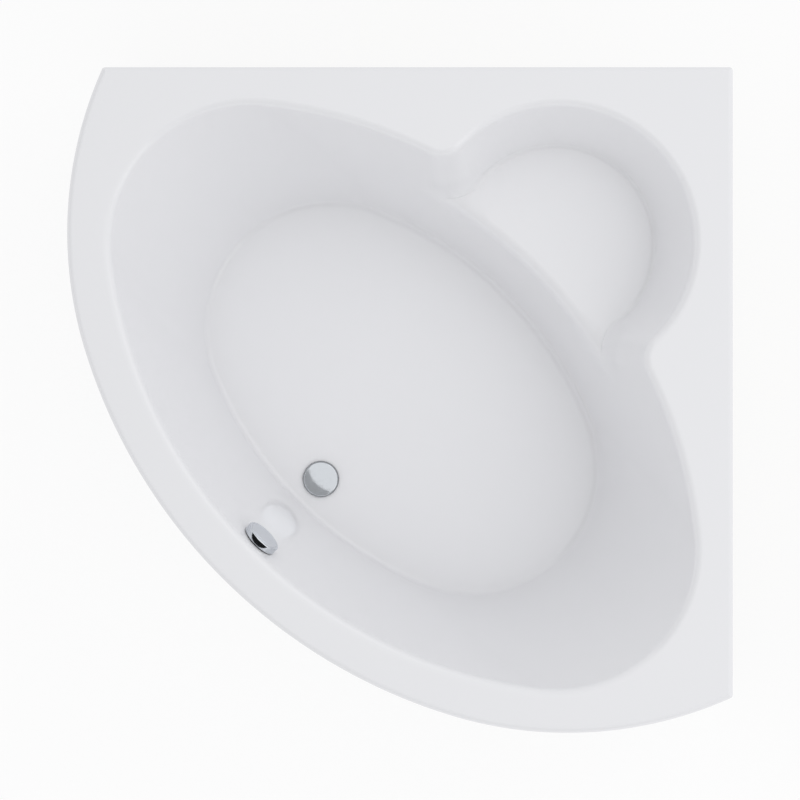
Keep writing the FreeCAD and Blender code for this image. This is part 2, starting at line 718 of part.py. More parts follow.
def cradle():
    feet = foot_places()
    half = CROSS_CHANNEL_LENGTH / 2
    cross = channel(-half, half)
    cross.rotate(Vector(0, 0, 0), Vector(0, 0, 1), 90)
    cross = with_stud_holes(moved(cross, Vector(0, CROSS_CHANNEL_V, 0)), feet[2:4])
    front_stop = CROSS_CHANNEL_V - CHANNEL_WIDTH / 2 - BUTT_GAP
    front = channel(front_channel_end(), front_stop)
    left = with_stud_holes(moved(front, Vector(-FRONT_CHANNEL_U, 0, 0)), feet[0:1])
    right = with_stud_holes(moved(front, Vector(FRONT_CHANNEL_U, 0, 0)), feet[1:2])
    rear_start = CROSS_CHANNEL_V + CHANNEL_WIDTH / 2 + BUTT_GAP
    rear = with_stud_holes(channel(rear_start, rear_channel_end()), feet[4:5])
    return {
        "cross_channel": cross,
        "front_channel_left": left,
        "front_channel_right": right,
        "rear_channel": rear,
    }


def post(u, v):
    top = RIM_UNDERSIDE - RIM_BLOCK_THICKNESS
    half = POST_SIZE / 2
    inner = half - POST_WALL
    tube = block(u - half, u + half, v - half, v + half, BOARD_UNDERSIDE, top)
    return tube.cut(block(u - inner, u + inner, v - inner, v + inner, BOARD_UNDERSIDE, top))


# ---- adjustable feet ------------------------------------------------------------------------


def foot_pad(u, v):
    socket = STUD_RADIUS + STUD_SOCKET_GAP
    pad = turned(
        [
            (0, 0),
            (PAD_RADIUS - PAD_BEVEL, 0),
            (PAD_RADIUS, PAD_BEVEL),
            (PAD_RADIUS, PAD_EDGE),
            (PAD_NECK_RADIUS, PAD_EDGE + PAD_SLOPE),
            (PAD_NECK_RADIUS, PAD_HEIGHT),
            (socket, PAD_HEIGHT),
            (socket, PAD_FLOOR),
            (0, PAD_FLOOR),
        ]
    )
    return moved(pad, Vector(u, v, 0))


def foot_stud(u, v):
    length = BOARD_UNDERSIDE + STUD_ABOVE - PAD_FLOOR
    stud = cylinder(STUD_RADIUS, length, Vector(u, v, PAD_FLOOR))
    return stud.makeChamfer(STUD_CHAMFER, flat_edges(stud, PAD_FLOOR + length))


def foot_nuts():
    """A nut above and below the channel on each stud."""
    nuts = []
    for u, v in foot_places():
        for z in (BOARD_UNDERSIDE, BOARD_UNDERSIDE - CHANNEL_WALL - NUT_HEIGHT):
            place = Vector(u, v, z)
            nut = regular_prism(6, NUT_RADIUS, NUT_HEIGHT, place)
            nuts.append(nut.cut(cylinder(STUD_RADIUS + STUD_BORE_GAP, NUT_HEIGHT, place)))
    return Part.makeCompound(nuts)


# ---- front panel ----------------------------------------------------------------------------


def panel_top():
    return RIM_HEIGHT - LIP_DROP - PANEL_TOP_GAP


def front_panel():
    """Bowed panel with a turned-in top edge and a recessed plinth."""
    top = panel_top()
    face = PANEL_INSET
    back = face + PANEL_THICKNESS
    plinth = face + PLINTH_RECESS
    upper = bow_band(face, back, PANEL_END_GAP, PLINTH_HEIGHT, top)
    flange = bow_band(face, back + PANEL_FLANGE, PANEL_END_GAP, top - PANEL_THICKNESS, top)
    ledge = bow_band(
        face, plinth + PANEL_THICKNESS, PANEL_END_GAP, PLINTH_HEIGHT, PLINTH_HEIGHT + PANEL_THICKNESS
    )
    ledge_top = PLINTH_HEIGHT + PANEL_THICKNESS
    foot = bow_band(plinth, plinth + PANEL_THICKNESS, PANEL_END_GAP, PANEL_FLOOR_GAP, ledge_top)
    panel = only_solid(fuse_all([upper, flange, ledge, foot]))
    rounded = []
    for z in (top, PLINTH_HEIGHT):
        for edge in flat_edges(panel, z):
            if is_bow_face(edge, face):
                rounded.append(edge)
    return panel.makeFillet(PANEL_EDGE_ROUNDING, rounded)


def is_bow_face(edge, inset):
    """True for an arc of the bow at this inset."""
    if type(edge.Curve).__name__ != "Circle":
        return False
    radii = (BOW_FRONT_RADIUS - inset, BOW_END_RADIUS - inset)
    return min(abs(edge.Curve.Radius - r) for r in radii) < NEAR


def panel_catches():
    """Sprung steel angles on the two front posts, against the back of the panel."""
    catches = []
    for place, (u, v) in post_places().items():
        if place.startswith("front"):
            for z in (CATCH_LOWER_Z, RIM_HEIGHT - CATCH_UPPER_DROP - CATCH_HEIGHT):
                catches.append(panel_catch(u, v, z))
    return Part.makeCompound(catches)


def panel_catch(u, v, z):
    """Angle: one leg on the side of the post, the other along the panel."""
    inset = PANEL_INSET + PANEL_THICKNESS + CATCH_GAP
    inner_side = 1 if u < 0 else -1
    post_face = u + inner_side * POST_SIZE / 2
    across = sorted((post_face, post_face + inner_side * CATCH_SHEET))
    leg = block(across[0], across[1], BOW_FRONT, v + POST_SIZE / 2, z, z + CATCH_HEIGHT)
    pad_span = sorted((post_face, post_face + inner_side * CATCH_WIDTH))
    front = bow_band(inset, inset + CATCH_SHEET, PANEL_END_GAP, z, z + CATCH_HEIGHT)
    pad = front.common(block(pad_span[0], pad_span[1], BOW_FRONT, v, z, z + CATCH_HEIGHT))
    inside = prism(tub_outline(inset, z), CATCH_HEIGHT)
    return only_solid(fuse_all([leg.common(inside), pad]))


def panel_clip():
    """Cranked strip from the end of the +X batten, over the panel's turned-in edge."""
    face = OVERALL / 2 - WALL - BATTEN_LIP_GAP
    x0 = face - BATTEN_WIDTH / 2 - CLIP_WIDTH / 2
    x1 = x0 + CLIP_WIDTH
    end = batten_end()
    panel_back = PANEL_INSET + PANEL_THICKNESS
    flange_u, flange_v = bow_corner(panel_back, panel_back)
    tip = (flange_v - flange_u) / math.sqrt(2) + CLIP_WIDTH / 2
    low = panel_top() + CATCH_GAP
    high = RIM_UNDERSIDE - BATTEN_HEIGHT
    level = block(x0, x1, end - CATCH_SHEET, end + CLIP_HOLD, high - CATCH_SHEET, high)
    riser = block(x0, x1, end - CATCH_SHEET, end, low, high)
    tongue = block(x0, x1, tip, end, low, low + CATCH_SHEET)
    hole = cylinder(SCREW_RADIUS + SCREW_HOLE_GAP, CATCH_SHEET, clip_screw_place())
    return only_solid(fuse_all([level, riser, tongue]).cut(hole))


def clip_screw_place():
    x = OVERALL / 2 - WALL - BATTEN_LIP_GAP - BATTEN_WIDTH / 2
    return Vector(x, batten_end() + CLIP_HOLD / 2, RIM_UNDERSIDE - BATTEN_HEIGHT - CATCH_SHEET)


def panel_clips():
    return Part.makeCompound([panel_clip(), to_rear_wall(panel_clip())])


# ---- waste in the floor ---------------------------------------------------------------------


def at_drain(shape):
    return moved(shape, Vector(0, DRAIN_V, 0))


def at_outlet(shape):
    """From the drain's axis with the outlet along v, to its own direction."""
    shape.rotate(Vector(0, 0, 0), Vector(0, 0, 1), OUTLET_TURN)
    return at_drain(shape)


def waste_flange():
    """Flange and threaded tail, with a spider that guides the plug's stem."""
    flange = turned(
        [
            (TAIL_BORE_RADIUS, TAIL_BOTTOM),
            (TAIL_RADIUS, TAIL_BOTTOM),
            (TAIL_RADIUS, FLANGE_UNDERSIDE),
            (FLANGE_RADIUS, FLANGE_UNDERSIDE),
            (FLANGE_RADIUS, FLANGE_TOP - FLANGE_BEVEL),
            (FLANGE_RADIUS - FLANGE_BEVEL, FLANGE_TOP),
            (TAIL_BORE_RADIUS + SEAT_CONE, FLANGE_TOP),
            (TAIL_BORE_RADIUS, FLANGE_TOP - SEAT_CONE),
        ]
    )
    hub_z = SHELL_UNDERSIDE - HUB_HEIGHT
    spider = cylinder(HUB_RADIUS, HUB_HEIGHT, Vector(0, 0, hub_z))
    reach = (TAIL_BORE_RADIUS + TAIL_RADIUS) / 2
    for arm in range(4):
        spoke = block(0, reach, -SPOKE_WIDTH / 2, SPOKE_WIDTH / 2, hub_z, hub_z + HUB_HEIGHT)
        spoke.rotate(Vector(0, 0, 0), Vector(0, 0, 1), 45 + 90 * arm)
        spider = spider.fuse(spoke)
    guide = cylinder(STEM_RADIUS + RUNNING_GAP, HUB_HEIGHT, Vector(0, 0, hub_z))
    return at_drain(only_solid(fuse_all([flange, spider]).cut(guide)))


def waste_gaskets():
    rim = FLANGE_RADIUS - GASKET_SETBACK
    upper = ring(rim, TAIL_RADIUS + THREAD_GAP, GASKET_THICKNESS, Vector(0, 0, FLOOR_Z))
    rim = BODY_COLLAR_RADIUS - GASKET_SETBACK
    lower = ring(rim, WASTE_HOLE_RADIUS, GASKET_THICKNESS, Vector(0, 0, BODY_TOP))
    return at_drain(Part.makeCompound([upper, lower]))


def waste_body():
    """Body below the floor: threaded bore, side spigot for the hose, outlet to the trap."""
    bore = BODY_BORE_RADIUS
    outlet_top = BODY_BOTTOM - BODY_TAPER
    outlet_bottom = BODY_BOTTOM - TRAP_SPIGOT_LENGTH
    body = turned(
        [
            (bore, BODY_TOP),
            (BODY_COLLAR_RADIUS, BODY_TOP),
            (BODY_COLLAR_RADIUS, BODY_TOP - BODY_COLLAR_HEIGHT),
            (BODY_RADIUS, BODY_TOP - BODY_COLLAR_HEIGHT),
            (BODY_RADIUS, BODY_BOTTOM),
            (TRAP_SPIGOT_RADIUS, outlet_top),
            (TRAP_SPIGOT_RADIUS, outlet_bottom),
            (TRAP_SPIGOT_RADIUS - TRAP_SPIGOT_WALL, outlet_bottom),
            (TRAP_SPIGOT_RADIUS - TRAP_SPIGOT_WALL, BODY_BOTTOM),
            (bore, BODY_BOTTOM + BODY_SUMP),
        ]
    )
    spigot_end = hose_low_end_v() - DRAIN_V
    start = Vector(0, -(bore + BODY_RADIUS) / 2, HOSE_LOW_Z)
    reach = -spigot_end + start.y
    spigot = cylinder(SPIGOT_RADIUS, reach, start, Vector(0, -1, 0))
    body = body.fuse(spigot)
    water_way = Vector(0, -HUB_RADIUS, HOSE_LOW_Z)
    body = body.cut(cylinder(SPIGOT_BORE_RADIUS, -spigot_end, water_way, Vector(0, -1, 0)))
    aside = Vector(1, 0, 0)
    seat_start = Vector(BODY_RADIUS - GLAND_SEAT, 0, CABLE_LOW_Z)
    body = body.fuse(cylinder(GLAND_RADIUS, 2 * GLAND_SEAT, seat_start, aside))
    passage = cylinder(CABLE_RADIUS / 2, 2 * BODY_RADIUS, Vector(HUB_RADIUS, 0, CABLE_LOW_Z), aside)
    body = body.cut(passage)
    half = lever_pin_half()
    pin_start = Vector(-LEVER_U, -half, LEVER_Z)
    pin_hole = cylinder(LEVER_PIN_RADIUS + LEVER_PIN_GAP, 2 * half, pin_start, Vector(0, 1, 0))
    return at_drain(only_solid(body.cut(pin_hole).removeSplitter()))


def plug_cap():
    bottom = FLANGE_TOP + PLUG_GAP
    cap = cylinder(PLUG_RADIUS, PLUG_THICKNESS, Vector(0, 0, bottom))
    cap = cap.makeFillet(PLUG_ROUNDING, flat_edges(cap, bottom + PLUG_THICKNESS))
    return at_drain(cap)


def plug_seal():
    """Rubber cup under the cap, which closes on the flange's cone."""
    bottom = FLANGE_TOP + PLUG_GAP
    seal = turned(
        [
            (STEM_RADIUS, bottom),
            (TAIL_BORE_RADIUS + SEAL_LIP, bottom),
            (TAIL_BORE_RADIUS + SEAL_LIP, bottom - FLANGE_BEVEL),
            (TAIL_BORE_RADIUS - SEAL_TUCK, bottom - SEAT_CONE),
            (STEM_RADIUS, bottom - SEAT_CONE),
        ]
    )
    return at_drain(seal)


def plug_stem():
    top = FLANGE_TOP + PLUG_GAP
    return at_drain(cylinder(STEM_RADIUS, top - STEM_BOTTOM, Vector(0, 0, STEM_BOTTOM)))


def lever_pin_half():
    """Half the pin, which ends in the body's wall."""
    return math.sqrt(BODY_BORE_RADIUS**2 - LEVER_U**2) + LEVER_PIN_HOLD


def lift_lever():
    """Bell crank: one arm under the stem, the other down to the cable."""
    flat = Vector(0, 1, 0)
    base = -LEVER_THICKNESS / 2
    pivot = Vector(LEVER_U, base, LEVER_Z)
    tip_z = LEVER_Z - LEVER_ARM * math.sin(HALF_SWING)
    hub = cylinder(LEVER_HUB_RADIUS, LEVER_THICKNESS, pivot, flat)
    tip = cylinder(LEVER_TIP_RADIUS, LEVER_THICKNESS, Vector(0, base, tip_z), flat)
    cable_end = Vector(LEVER_U, base, CABLE_LOW_Z)
    eye = cylinder(LEVER_TIP_RADIUS, LEVER_THICKNESS, cable_end, flat)
    lift_arm = block(0, LEVER_ARM, base, -base, -LEVER_ARM_HEIGHT / 2, LEVER_ARM_HEIGHT / 2)
    lift_arm.rotate(Vector(0, 0, 0), flat, -math.degrees(HALF_SWING))
    lift_arm.translate(Vector(0, 0, tip_z))
    pull_arm = block(
        LEVER_U - LEVER_TIP_RADIUS, LEVER_U + LEVER_TIP_RADIUS, base, -base, CABLE_LOW_Z, LEVER_Z
    )
    lever = fuse_all([hub, tip, eye, lift_arm, pull_arm])
    pin_hole = cylinder(LEVER_PIN_RADIUS + LEVER_PIN_GAP, LEVER_THICKNESS, pivot, flat)
    return at_drain(mirrored(only_solid(lever.cut(pin_hole))))


def lever_pin():
    half = lever_pin_half()
    start = Vector(-LEVER_U, -half, LEVER_Z)
    return at_drain(cylinder(LEVER_PIN_RADIUS, 2 * half, start, Vector(0, 1, 0)))


# ---- overflow in the front wall -------------------------------------------------------------


def at_overflow(shape):
    """From a frame with Z out of the wall and Y down its slope, to the front wall."""
    copy = shape.copy()
    copy.rotate(Vector(0, 0, 0), Vector(1, 0, 0), math.degrees(WALL_LEAN) - 90)
    return moved(copy, Vector(0, OVERFLOW_V, OVERFLOW_Z))


def overflow_point(u, down, out):
    """A point near the overflow: across, down the slope of the wall, and out of its face."""
    normal = Vector(0, math.cos(WALL_LEAN), math.sin(WALL_LEAN))
    slope = Vector(0, math.sin(WALL_LEAN), -math.cos(WALL_LEAN))
    return Vector(u, OVERFLOW_V, OVERFLOW_Z) + normal * out + slope * down


def overflow_plate():
    """Fixed plate with a spider for the spindle, and a threaded tail through the wall."""
    back = OVERFLOW_GASKET
    front = back + OVERFLOW_PLATE_THICKNESS
    plate = turned(
        [
            (OVERFLOW_TAIL_BORE, front),
            (OVERFLOW_PLATE_RADIUS, front),
            (OVERFLOW_PLATE_RADIUS, back),
            (OVERFLOW_TAIL_RADIUS, back),
            (OVERFLOW_TAIL_RADIUS, back - OVERFLOW_TAIL_LENGTH),
            (OVERFLOW_TAIL_BORE, back - OVERFLOW_TAIL_LENGTH),
        ]
    )
    hub = cylinder(HUB_RADIUS + SPOKE_WIDTH / 2, OVERFLOW_PLATE_THICKNESS, Vector(0, 0, back))
    reach = (OVERFLOW_TAIL_BORE + OVERFLOW_TAIL_RADIUS) / 2
    for arm in range(3):
        spoke = block(0, reach, -SPOKE_WIDTH, SPOKE_WIDTH, back, front)
        spoke.rotate(Vector(0, 0, 0), Vector(0, 0, 1), 90 + 120 * arm)
        hub = hub.fuse(spoke)
    bush = cylinder(SPINDLE_RADIUS + RUNNING_GAP / 2, OVERFLOW_PLATE_THICKNESS, Vector(0, 0, back))
    return at_overflow(only_solid(fuse_all([plate, hub]).cut(bush)))


def overflow_gaskets(shell):
    """Rubber rings on both faces of the wall, shaped by its curve."""
    half = WALL / 2
    front = ring(OVERFLOW_PLATE_RADIUS, OVERFLOW_HOLE_RADIUS, OVERFLOW_GASKET + half, Vector(0, 0, -half))
    start = Vector(0, 0, -CHAMBER_FRONT)
    rear = ring(CHAMBER_FLANGE_RADIUS, OVERFLOW_HOLE_RADIUS, CHAMBER_FRONT - half, start)
    outward = overflow_point(0, 0, GASKET_GAP) - overflow_point(0, 0, 0)
    front = at_overflow(front).cut(moved(shell, outward))
    rear = at_overflow(rear).cut(moved(shell, -outward))
    return Part.makeCompound([only_solid(front), only_solid(rear)])


def overflow_body():
    """Chamber behind the wall, with a spigot down to the hose."""
    bore = OVERFLOW_TAIL_RADIUS + THREAD_GAP
    chamber = turned(
        [
            (bore, -CHAMBER_FRONT),
            (CHAMBER_FLANGE_RADIUS, -CHAMBER_FRONT),
            (CHAMBER_FLANGE_RADIUS, -CHAMBER_FRONT - CHAMBER_FLANGE),
            (CHAMBER_RADIUS, -CHAMBER_FRONT - CHAMBER_FLANGE),
            (CHAMBER_RADIUS, CHAMBER_BEVEL - CHAMBER_DEPTH),
            (CHAMBER_RADIUS - CHAMBER_BEVEL, -CHAMBER_DEPTH),
            (0, -CHAMBER_DEPTH),
            (0, CHAMBER_WALL - CHAMBER_DEPTH),
            (bore, CHAMBER_WALL - CHAMBER_DEPTH),
        ]
    )
    down = Vector(0, 1, 0)
    start = Vector(0, (bore + CHAMBER_RADIUS) / 2, -HOSE_DEPTH)
    reach = hose_top_down() + SPIGOT_LENGTH - start.y
    body = chamber.fuse(cylinder(SPIGOT_RADIUS, reach, start, down))
    way = Vector(0, CRANK_RADIUS, -HOSE_DEPTH)
    body = body.cut(cylinder(SPIGOT_BORE_RADIUS, 4 * SPIGOT_LENGTH, way, down))
    boss_start = Vector(CABLE_SIDE, CHAMBER_RADIUS / 2, -HOSE_DEPTH)
    boss = cylinder(GLAND_RADIUS, CHAMBER_RADIUS / 2, boss_start, down)
    space = cylinder(bore, CHAMBER_DEPTH - CHAMBER_WALL, Vector(0, 0, CHAMBER_WALL - CHAMBER_DEPTH))
    body = body.fuse(boss.cut(space))
    passage = cylinder(CABLE_RADIUS / 2, CHAMBER_RADIUS, Vector(CABLE_SIDE, 0, -HOSE_DEPTH), down)
    return at_overflow(only_solid(body.cut(passage).removeSplitter()))


def overflow_knob():
    """Turning disc with a skirt over the plate; water goes in under the skirt."""
    inner = KNOB_RADIUS - KNOB_WALL
    ceiling = KNOB_FACE - KNOB_WALL
    hub_end = OVERFLOW_GASKET + OVERFLOW_PLATE_THICKNESS + RUNNING_GAP
    knob = turned(
        [
            (0, KNOB_FACE),
            (KNOB_RADIUS, KNOB_FACE),
            (KNOB_RADIUS, KNOB_SKIRT_GAP),
            (inner, KNOB_SKIRT_GAP),
            (inner, ceiling),
            (KNOB_HUB_RADIUS, ceiling),
            (KNOB_HUB_RADIUS, hub_end),
            (0, hub_end),
        ]
    )
    face_edge = [e for e in flat_edges(knob, KNOB_FACE) if type(e.Curve).__name__ == "Circle"]
    knob = knob.makeFillet(KNOB_ROUNDING, face_edge)
    socket = cylinder(SPINDLE_RADIUS, ceiling - hub_end, Vector(0, 0, hub_end))
    return at_overflow(only_solid(knob.cut(socket)))


def crank_front():
    """Out-of-wall place of the crank's front face, in the chamber."""
    return -HOSE_DEPTH + CRANK_THICKNESS / 2


def knob_spindle():
    bottom = crank_front() - CRANK_THICKNESS
    top = KNOB_FACE - KNOB_WALL
    return at_overflow(cylinder(SPINDLE_RADIUS, top - bottom, Vector(0, 0, bottom)))


def cable_crank():
    """Arm on the spindle that pulls the cable."""
    bottom = crank_front() - CRANK_THICKNESS
    hub = cylinder(2 * SPINDLE_RADIUS, CRANK_THICKNESS, Vector(0, 0, bottom))
    arm = block(0, CRANK_RADIUS, -SPINDLE_RADIUS, SPINDLE_RADIUS, bottom, bottom + CRANK_THICKNESS)
    end = cylinder(SPINDLE_RADIUS, CRANK_THICKNESS, Vector(CRANK_RADIUS, 0, bottom))
    crank = fuse_all([hub, arm, end])
    eye = cylinder(CABLE_RADIUS / 2, CRANK_THICKNESS, Vector(CRANK_RADIUS, 0, bottom))
    bore = cylinder(SPINDLE_RADIUS, CRANK_THICKNESS, Vector(0, 0, bottom))
    return at_overflow(only_solid(crank.cut(bore).cut(eye)))


# ---- hose and cable -------------------------------------------------------------------------


def hose_top_down():
    """How far down the slope the hose's upper end is."""
    return CHAMBER_RADIUS + CHAMBER_TO_HOSE


def hose_bend():
    """Start, middle and end of the bend, below the run that follows the wall."""
    on_wall = overflow_point(0, 0, -HOSE_DEPTH)
    slope = Vector(0, math.sin(WALL_LEAN), -math.cos(WALL_LEAN))
    outward = Vector(0, math.cos(WALL_LEAN), math.sin(WALL_LEAN))
    centre_z = HOSE_LOW_Z + HOSE_BEND_RADIUS
    # The bend's centre lies a bend's radius inside the sloping run, and above the level run.
    inside = on_wall + outward * HOSE_BEND_RADIUS
    down = (inside.z - centre_z) / math.cos(WALL_LEAN)
    centre = inside + slope * down
    upper = centre - outward * HOSE_BEND_RADIUS
    lower = centre - Vector(0, 0, HOSE_BEND_RADIUS)
    turn = math.pi / 2 - WALL_LEAN
    half = math.pi / 2 + turn / 2
    bend_middle = centre + Vector(0, math.cos(-half), math.sin(-half)) * HOSE_BEND_RADIUS
    return upper, bend_middle, lower


def hose_low_end_v():
    return hose_bend()[2].y


def hose_path():
    upper, bend_middle, lower = hose_bend()
    top = overflow_point(0, hose_top_down(), -HOSE_DEPTH)
    end = Vector(0, lower.y + HOSE_CUFF_LENGTH, lower.z)
    return Part.Wire(
        [
            Part.LineSegment(top, upper).toShape(),
            Part.Arc(upper, bend_middle, lower).toShape(),
            Part.LineSegment(lower, end).toShape(),
        ]
    )


def along_path(wire, distance):
    """Point and direction at a distance along a wire of lines and arcs."""
    edges = wire.OrderedEdges
    number = 0
    while number < len(edges) - 1 and distance > edges[number].Length:
        distance = distance - edges[number].Length
        number = number + 1
    edge = edges[number]
    parameter = edge.getParameterByLength(min(distance, edge.Length))
    return edge.valueAt(parameter), edge.tangentAt(parameter)


def hose_circle(wire, distance, radius):
    """Circle square to the path, with its start always on the same side."""
    point, direction = along_path(wire, distance)
    across = Vector(1, 0, 0)
    upright = direction.cross(across)
    placement = FreeCAD.Placement(point, FreeCAD.Rotation(across, upright, direction, "XYZ"))
    circle = Part.Wire(Part.makeCircle(radius))
    circle.Placement = placement
    return circle


def overflow_hose():
    wire = hose_path()
    ribbed = wire.Length - 2 * HOSE_CUFF_LENGTH
    count = int(ribbed / HOSE_RIB_PITCH)
    pitch = ribbed / count
    profile = [(0, HOSE_CUFF_RADIUS), (HOSE_CUFF_LENGTH - HOSE_CUFF_BEVEL, HOSE_CUFF_RADIUS)]
    for rib in range(count):
        start = HOSE_CUFF_LENGTH + rib * pitch
        profile.append((start, HOSE_ROOT_RADIUS))
        profile.append((start + RIB_RISE_END * pitch, HOSE_CREST_RADIUS))
        profile.append((start + RIB_CREST_END * pitch, HOSE_CREST_RADIUS))
        profile.append((start + RIB_FALL_END * pitch, HOSE_ROOT_RADIUS))
    profile.append((wire.Length - HOSE_CUFF_LENGTH + HOSE_CUFF_BEVEL, HOSE_CUFF_RADIUS))
    profile.append((wire.Length, HOSE_CUFF_RADIUS))
    circles = [hose_circle(wire, distance, radius) for distance, radius in profile]
    outside = Part.makeLoft(circles, True, True)
    bore = wire.makePipeShell([hose_circle(wire, 0, HOSE_BORE_RADIUS)], True, False)
    share = bore.Volume / (math.pi * HOSE_BORE_RADIUS**2 * wire.Length)
    print("hose: %.0f mm, %d ribs, bore %.4f of section times length" % (wire.Length, count, share))
    return only_solid(outside.cut(bore))


def hose_clips():
    wire = hose_path()
    clips = []
    for distance in (HOSE_CUFF_LENGTH / 3, wire.Length - HOSE_CUFF_LENGTH / 3 - HOSE_CLIP_WIDTH):
        point, direction = along_path(wire, distance)
        outer = HOSE_CUFF_RADIUS + HOSE_CLIP_THICKNESS
        clips.append(ring(outer, HOSE_CUFF_RADIUS, HOSE_CLIP_WIDTH, point, direction))
    return Part.makeCompound(clips)


def cable_ends():
    """Where the sheath leaves its two glands."""
    top = overflow_point(CABLE_SIDE, CHAMBER_RADIUS + GLAND_LENGTH, -HOSE_DEPTH)
    low = Vector(BODY_RADIUS + GLAND_SEAT + GLAND_LENGTH, DRAIN_V, CABLE_LOW_Z)
    return top, low


def cable_route():
    """Corners of the route: down beside the hose, aside under the board, in to the waste."""
    top, low = cable_ends()
    upper = hose_bend()[0]
    slope = Vector(0, math.sin(WALL_LEAN), -math.cos(WALL_LEAN))
    beside = top + slope * CABLE_STRAIGHT
    aside = Vector(
        (CABLE_SIDE + CABLE_LOW_SIDE) / 2 - CABLE_ASIDE_BACK,
        upper.y - CABLE_ASIDE_BACK,
        upper.z + CABLE_ASIDE_UP,
    )
    under = Vector(
        CABLE_LOW_SIDE + CABLE_UNDER_SIDE,
        DRAIN_V - CABLE_UNDER_BACK,
        CABLE_LOW_Z + CABLE_UNDER_UP,
    )
    turn_in = Vector(CABLE_LOW_SIDE, DRAIN_V, CABLE_LOW_Z)
    return [top, beside, aside, under, turn_in, low]


def rounded_route(points):
    """Straight runs joined by arcs that take a share of the shorter run beside each corner."""
    edges = []
    start = points[0]
    for before, corner, after in zip(points, points[1:], points[2:]):
        arriving = (corner - before).normalize()
        leaving = (after - corner).normalize()
        turn = arriving.getAngle(leaving)
        tangent = CABLE_TANGENT * min((corner - before).Length, (after - corner).Length)
        radius = tangent / math.tan(turn / 2)
        arc_start = corner - arriving * tangent
        arc_end = corner + leaving * tangent
        inward = (leaving - arriving).normalize()
        distance = radius / math.cos(turn / 2) - radius
        edges.append(Part.LineSegment(start, arc_start).toShape())
        edges.append(Part.Arc(arc_start, corner + inward * distance, arc_end).toShape())
        start = arc_end
    edges.append(Part.LineSegment(start, points[-1]).toShape())
    return Part.Wire(edges)


def pull_cable():
    wire = rounded_route(cable_route())
    start, direction = along_path(wire, 0)
    section = Part.Wire(Part.makeCircle(CABLE_RADIUS, start, direction))
    cable = wire.makePipeShell([section], True, False)
    share = cable.Volume / (math.pi * CABLE_RADIUS**2 * wire.Length)
    print("cable: %.0f mm long, volume %.4f of section times length" % (wire.Length, share))
    return cable


def cable_glands():
    slope = Vector(0, math.sin(WALL_LEAN), -math.cos(WALL_LEAN))
    top, low = cable_ends()
    upper = ring(GLAND_RADIUS, CABLE_RADIUS / 2, GLAND_LENGTH, top - slope * GLAND_LENGTH, slope)
    inward = Vector(-1, 0, 0)
    lower = ring(GLAND_RADIUS, CABLE_RADIUS / 2, GLAND_LENGTH, low, inward)
    return Part.makeCompound([upper, lower])


# ---- trap -----------------------------------------------------------------------------------


def trap_body():
    """Chamber with a socket for the waste's spigot, a dip tube and a side outlet."""
    socket = TRAP_SPIGOT_RADIUS + TRAP_SOCKET_GAP
    neck = socket + TRAP_WALL
    top = TRAP_TOP_Z
    inner = TRAP_RADIUS - TRAP_WALL
    dip = TRAP_SPIGOT_RADIUS - TRAP_SPIGOT_WALL
    body = turned(
        [
            (neck, top + TRAP_SOCKET_HEIGHT),
            (neck, top),
            (TRAP_RADIUS - TRAP_BEVEL, top),
            (TRAP_RADIUS, top - TRAP_BEVEL),
            (TRAP_RADIUS, TRAP_BODY_Z),
            (inner, TRAP_BODY_Z),
            (inner, top - TRAP_WALL),
            (socket, top - TRAP_WALL),
            (socket, TRAP_BODY_Z),
            (dip, TRAP_BODY_Z),
            (dip, trap_socket_floor()),
            (socket, trap_socket_floor()),
            (socket, top + TRAP_SOCKET_HEIGHT),
        ]
    )
    boss_start = Vector(0, (inner + TRAP_RADIUS) / 2, OUTLET_Z)
    boss_length = TRAP_RADIUS + OUTLET_BOSS_LENGTH - boss_start.y
    boss_radius = OUTLET_RADIUS + OUTLET_WALL + TRAP_SOCKET_GAP
    boss = cylinder(boss_radius, boss_length, boss_start, Vector(0, 1, 0))
    body = body.fuse(boss)
    way = Vector(0, socket + TRAP_WAY_IN, OUTLET_Z)
    bore = OUTLET_SEAT_RADIUS + TRAP_SOCKET_GAP
    body = body.cut(cylinder(bore, TRAP_RADIUS + OUTLET_BOSS_LENGTH, way, Vector(0, 1, 0)))
    return at_outlet(only_solid(body.removeSplitter()))


def trap_socket_floor():
    """Where the waste's spigot stops in the socket."""
    return BODY_BOTTOM - TRAP_SPIGOT_LENGTH - TRAP_FIT


def trap_inlet_nut():
    """Twelve-sided nut over the socket."""
    socket = TRAP_SPIGOT_RADIUS + TRAP_SOCKET_GAP
    neck = socket + TRAP_WALL + THREAD_GAP
    bottom = TRAP_TOP_Z + TRAP_FIT
    top = bottom + TRAP_NUT_HEIGHT
    shoulder = TRAP_TOP_Z + TRAP_SOCKET_HEIGHT + TRAP_SEAL_HEIGHT
    nut = regular_prism(PLASTIC_NUT_SIDES, TRAP_NUT_RADIUS, TRAP_NUT_HEIGHT, Vector(0, 0, bottom))
    nut = nut.cut(cylinder(neck, shoulder - bottom, Vector(0, 0, bottom)))
    return at_drain(only_solid(nut.cut(cylinder(socket, top - bottom, Vector(0, 0, bottom)))))


def trap_seal():
    """Rubber ring squeezed between the nut's shoulder and the socket."""
    socket = TRAP_SPIGOT_RADIUS + TRAP_SOCKET_GAP
    bottom = TRAP_TOP_Z + TRAP_SOCKET_HEIGHT
    return at_drain(ring(socket + TRAP_WALL, TRAP_SPIGOT_RADIUS, TRAP_SEAL_HEIGHT, Vector(0, 0, bottom)))


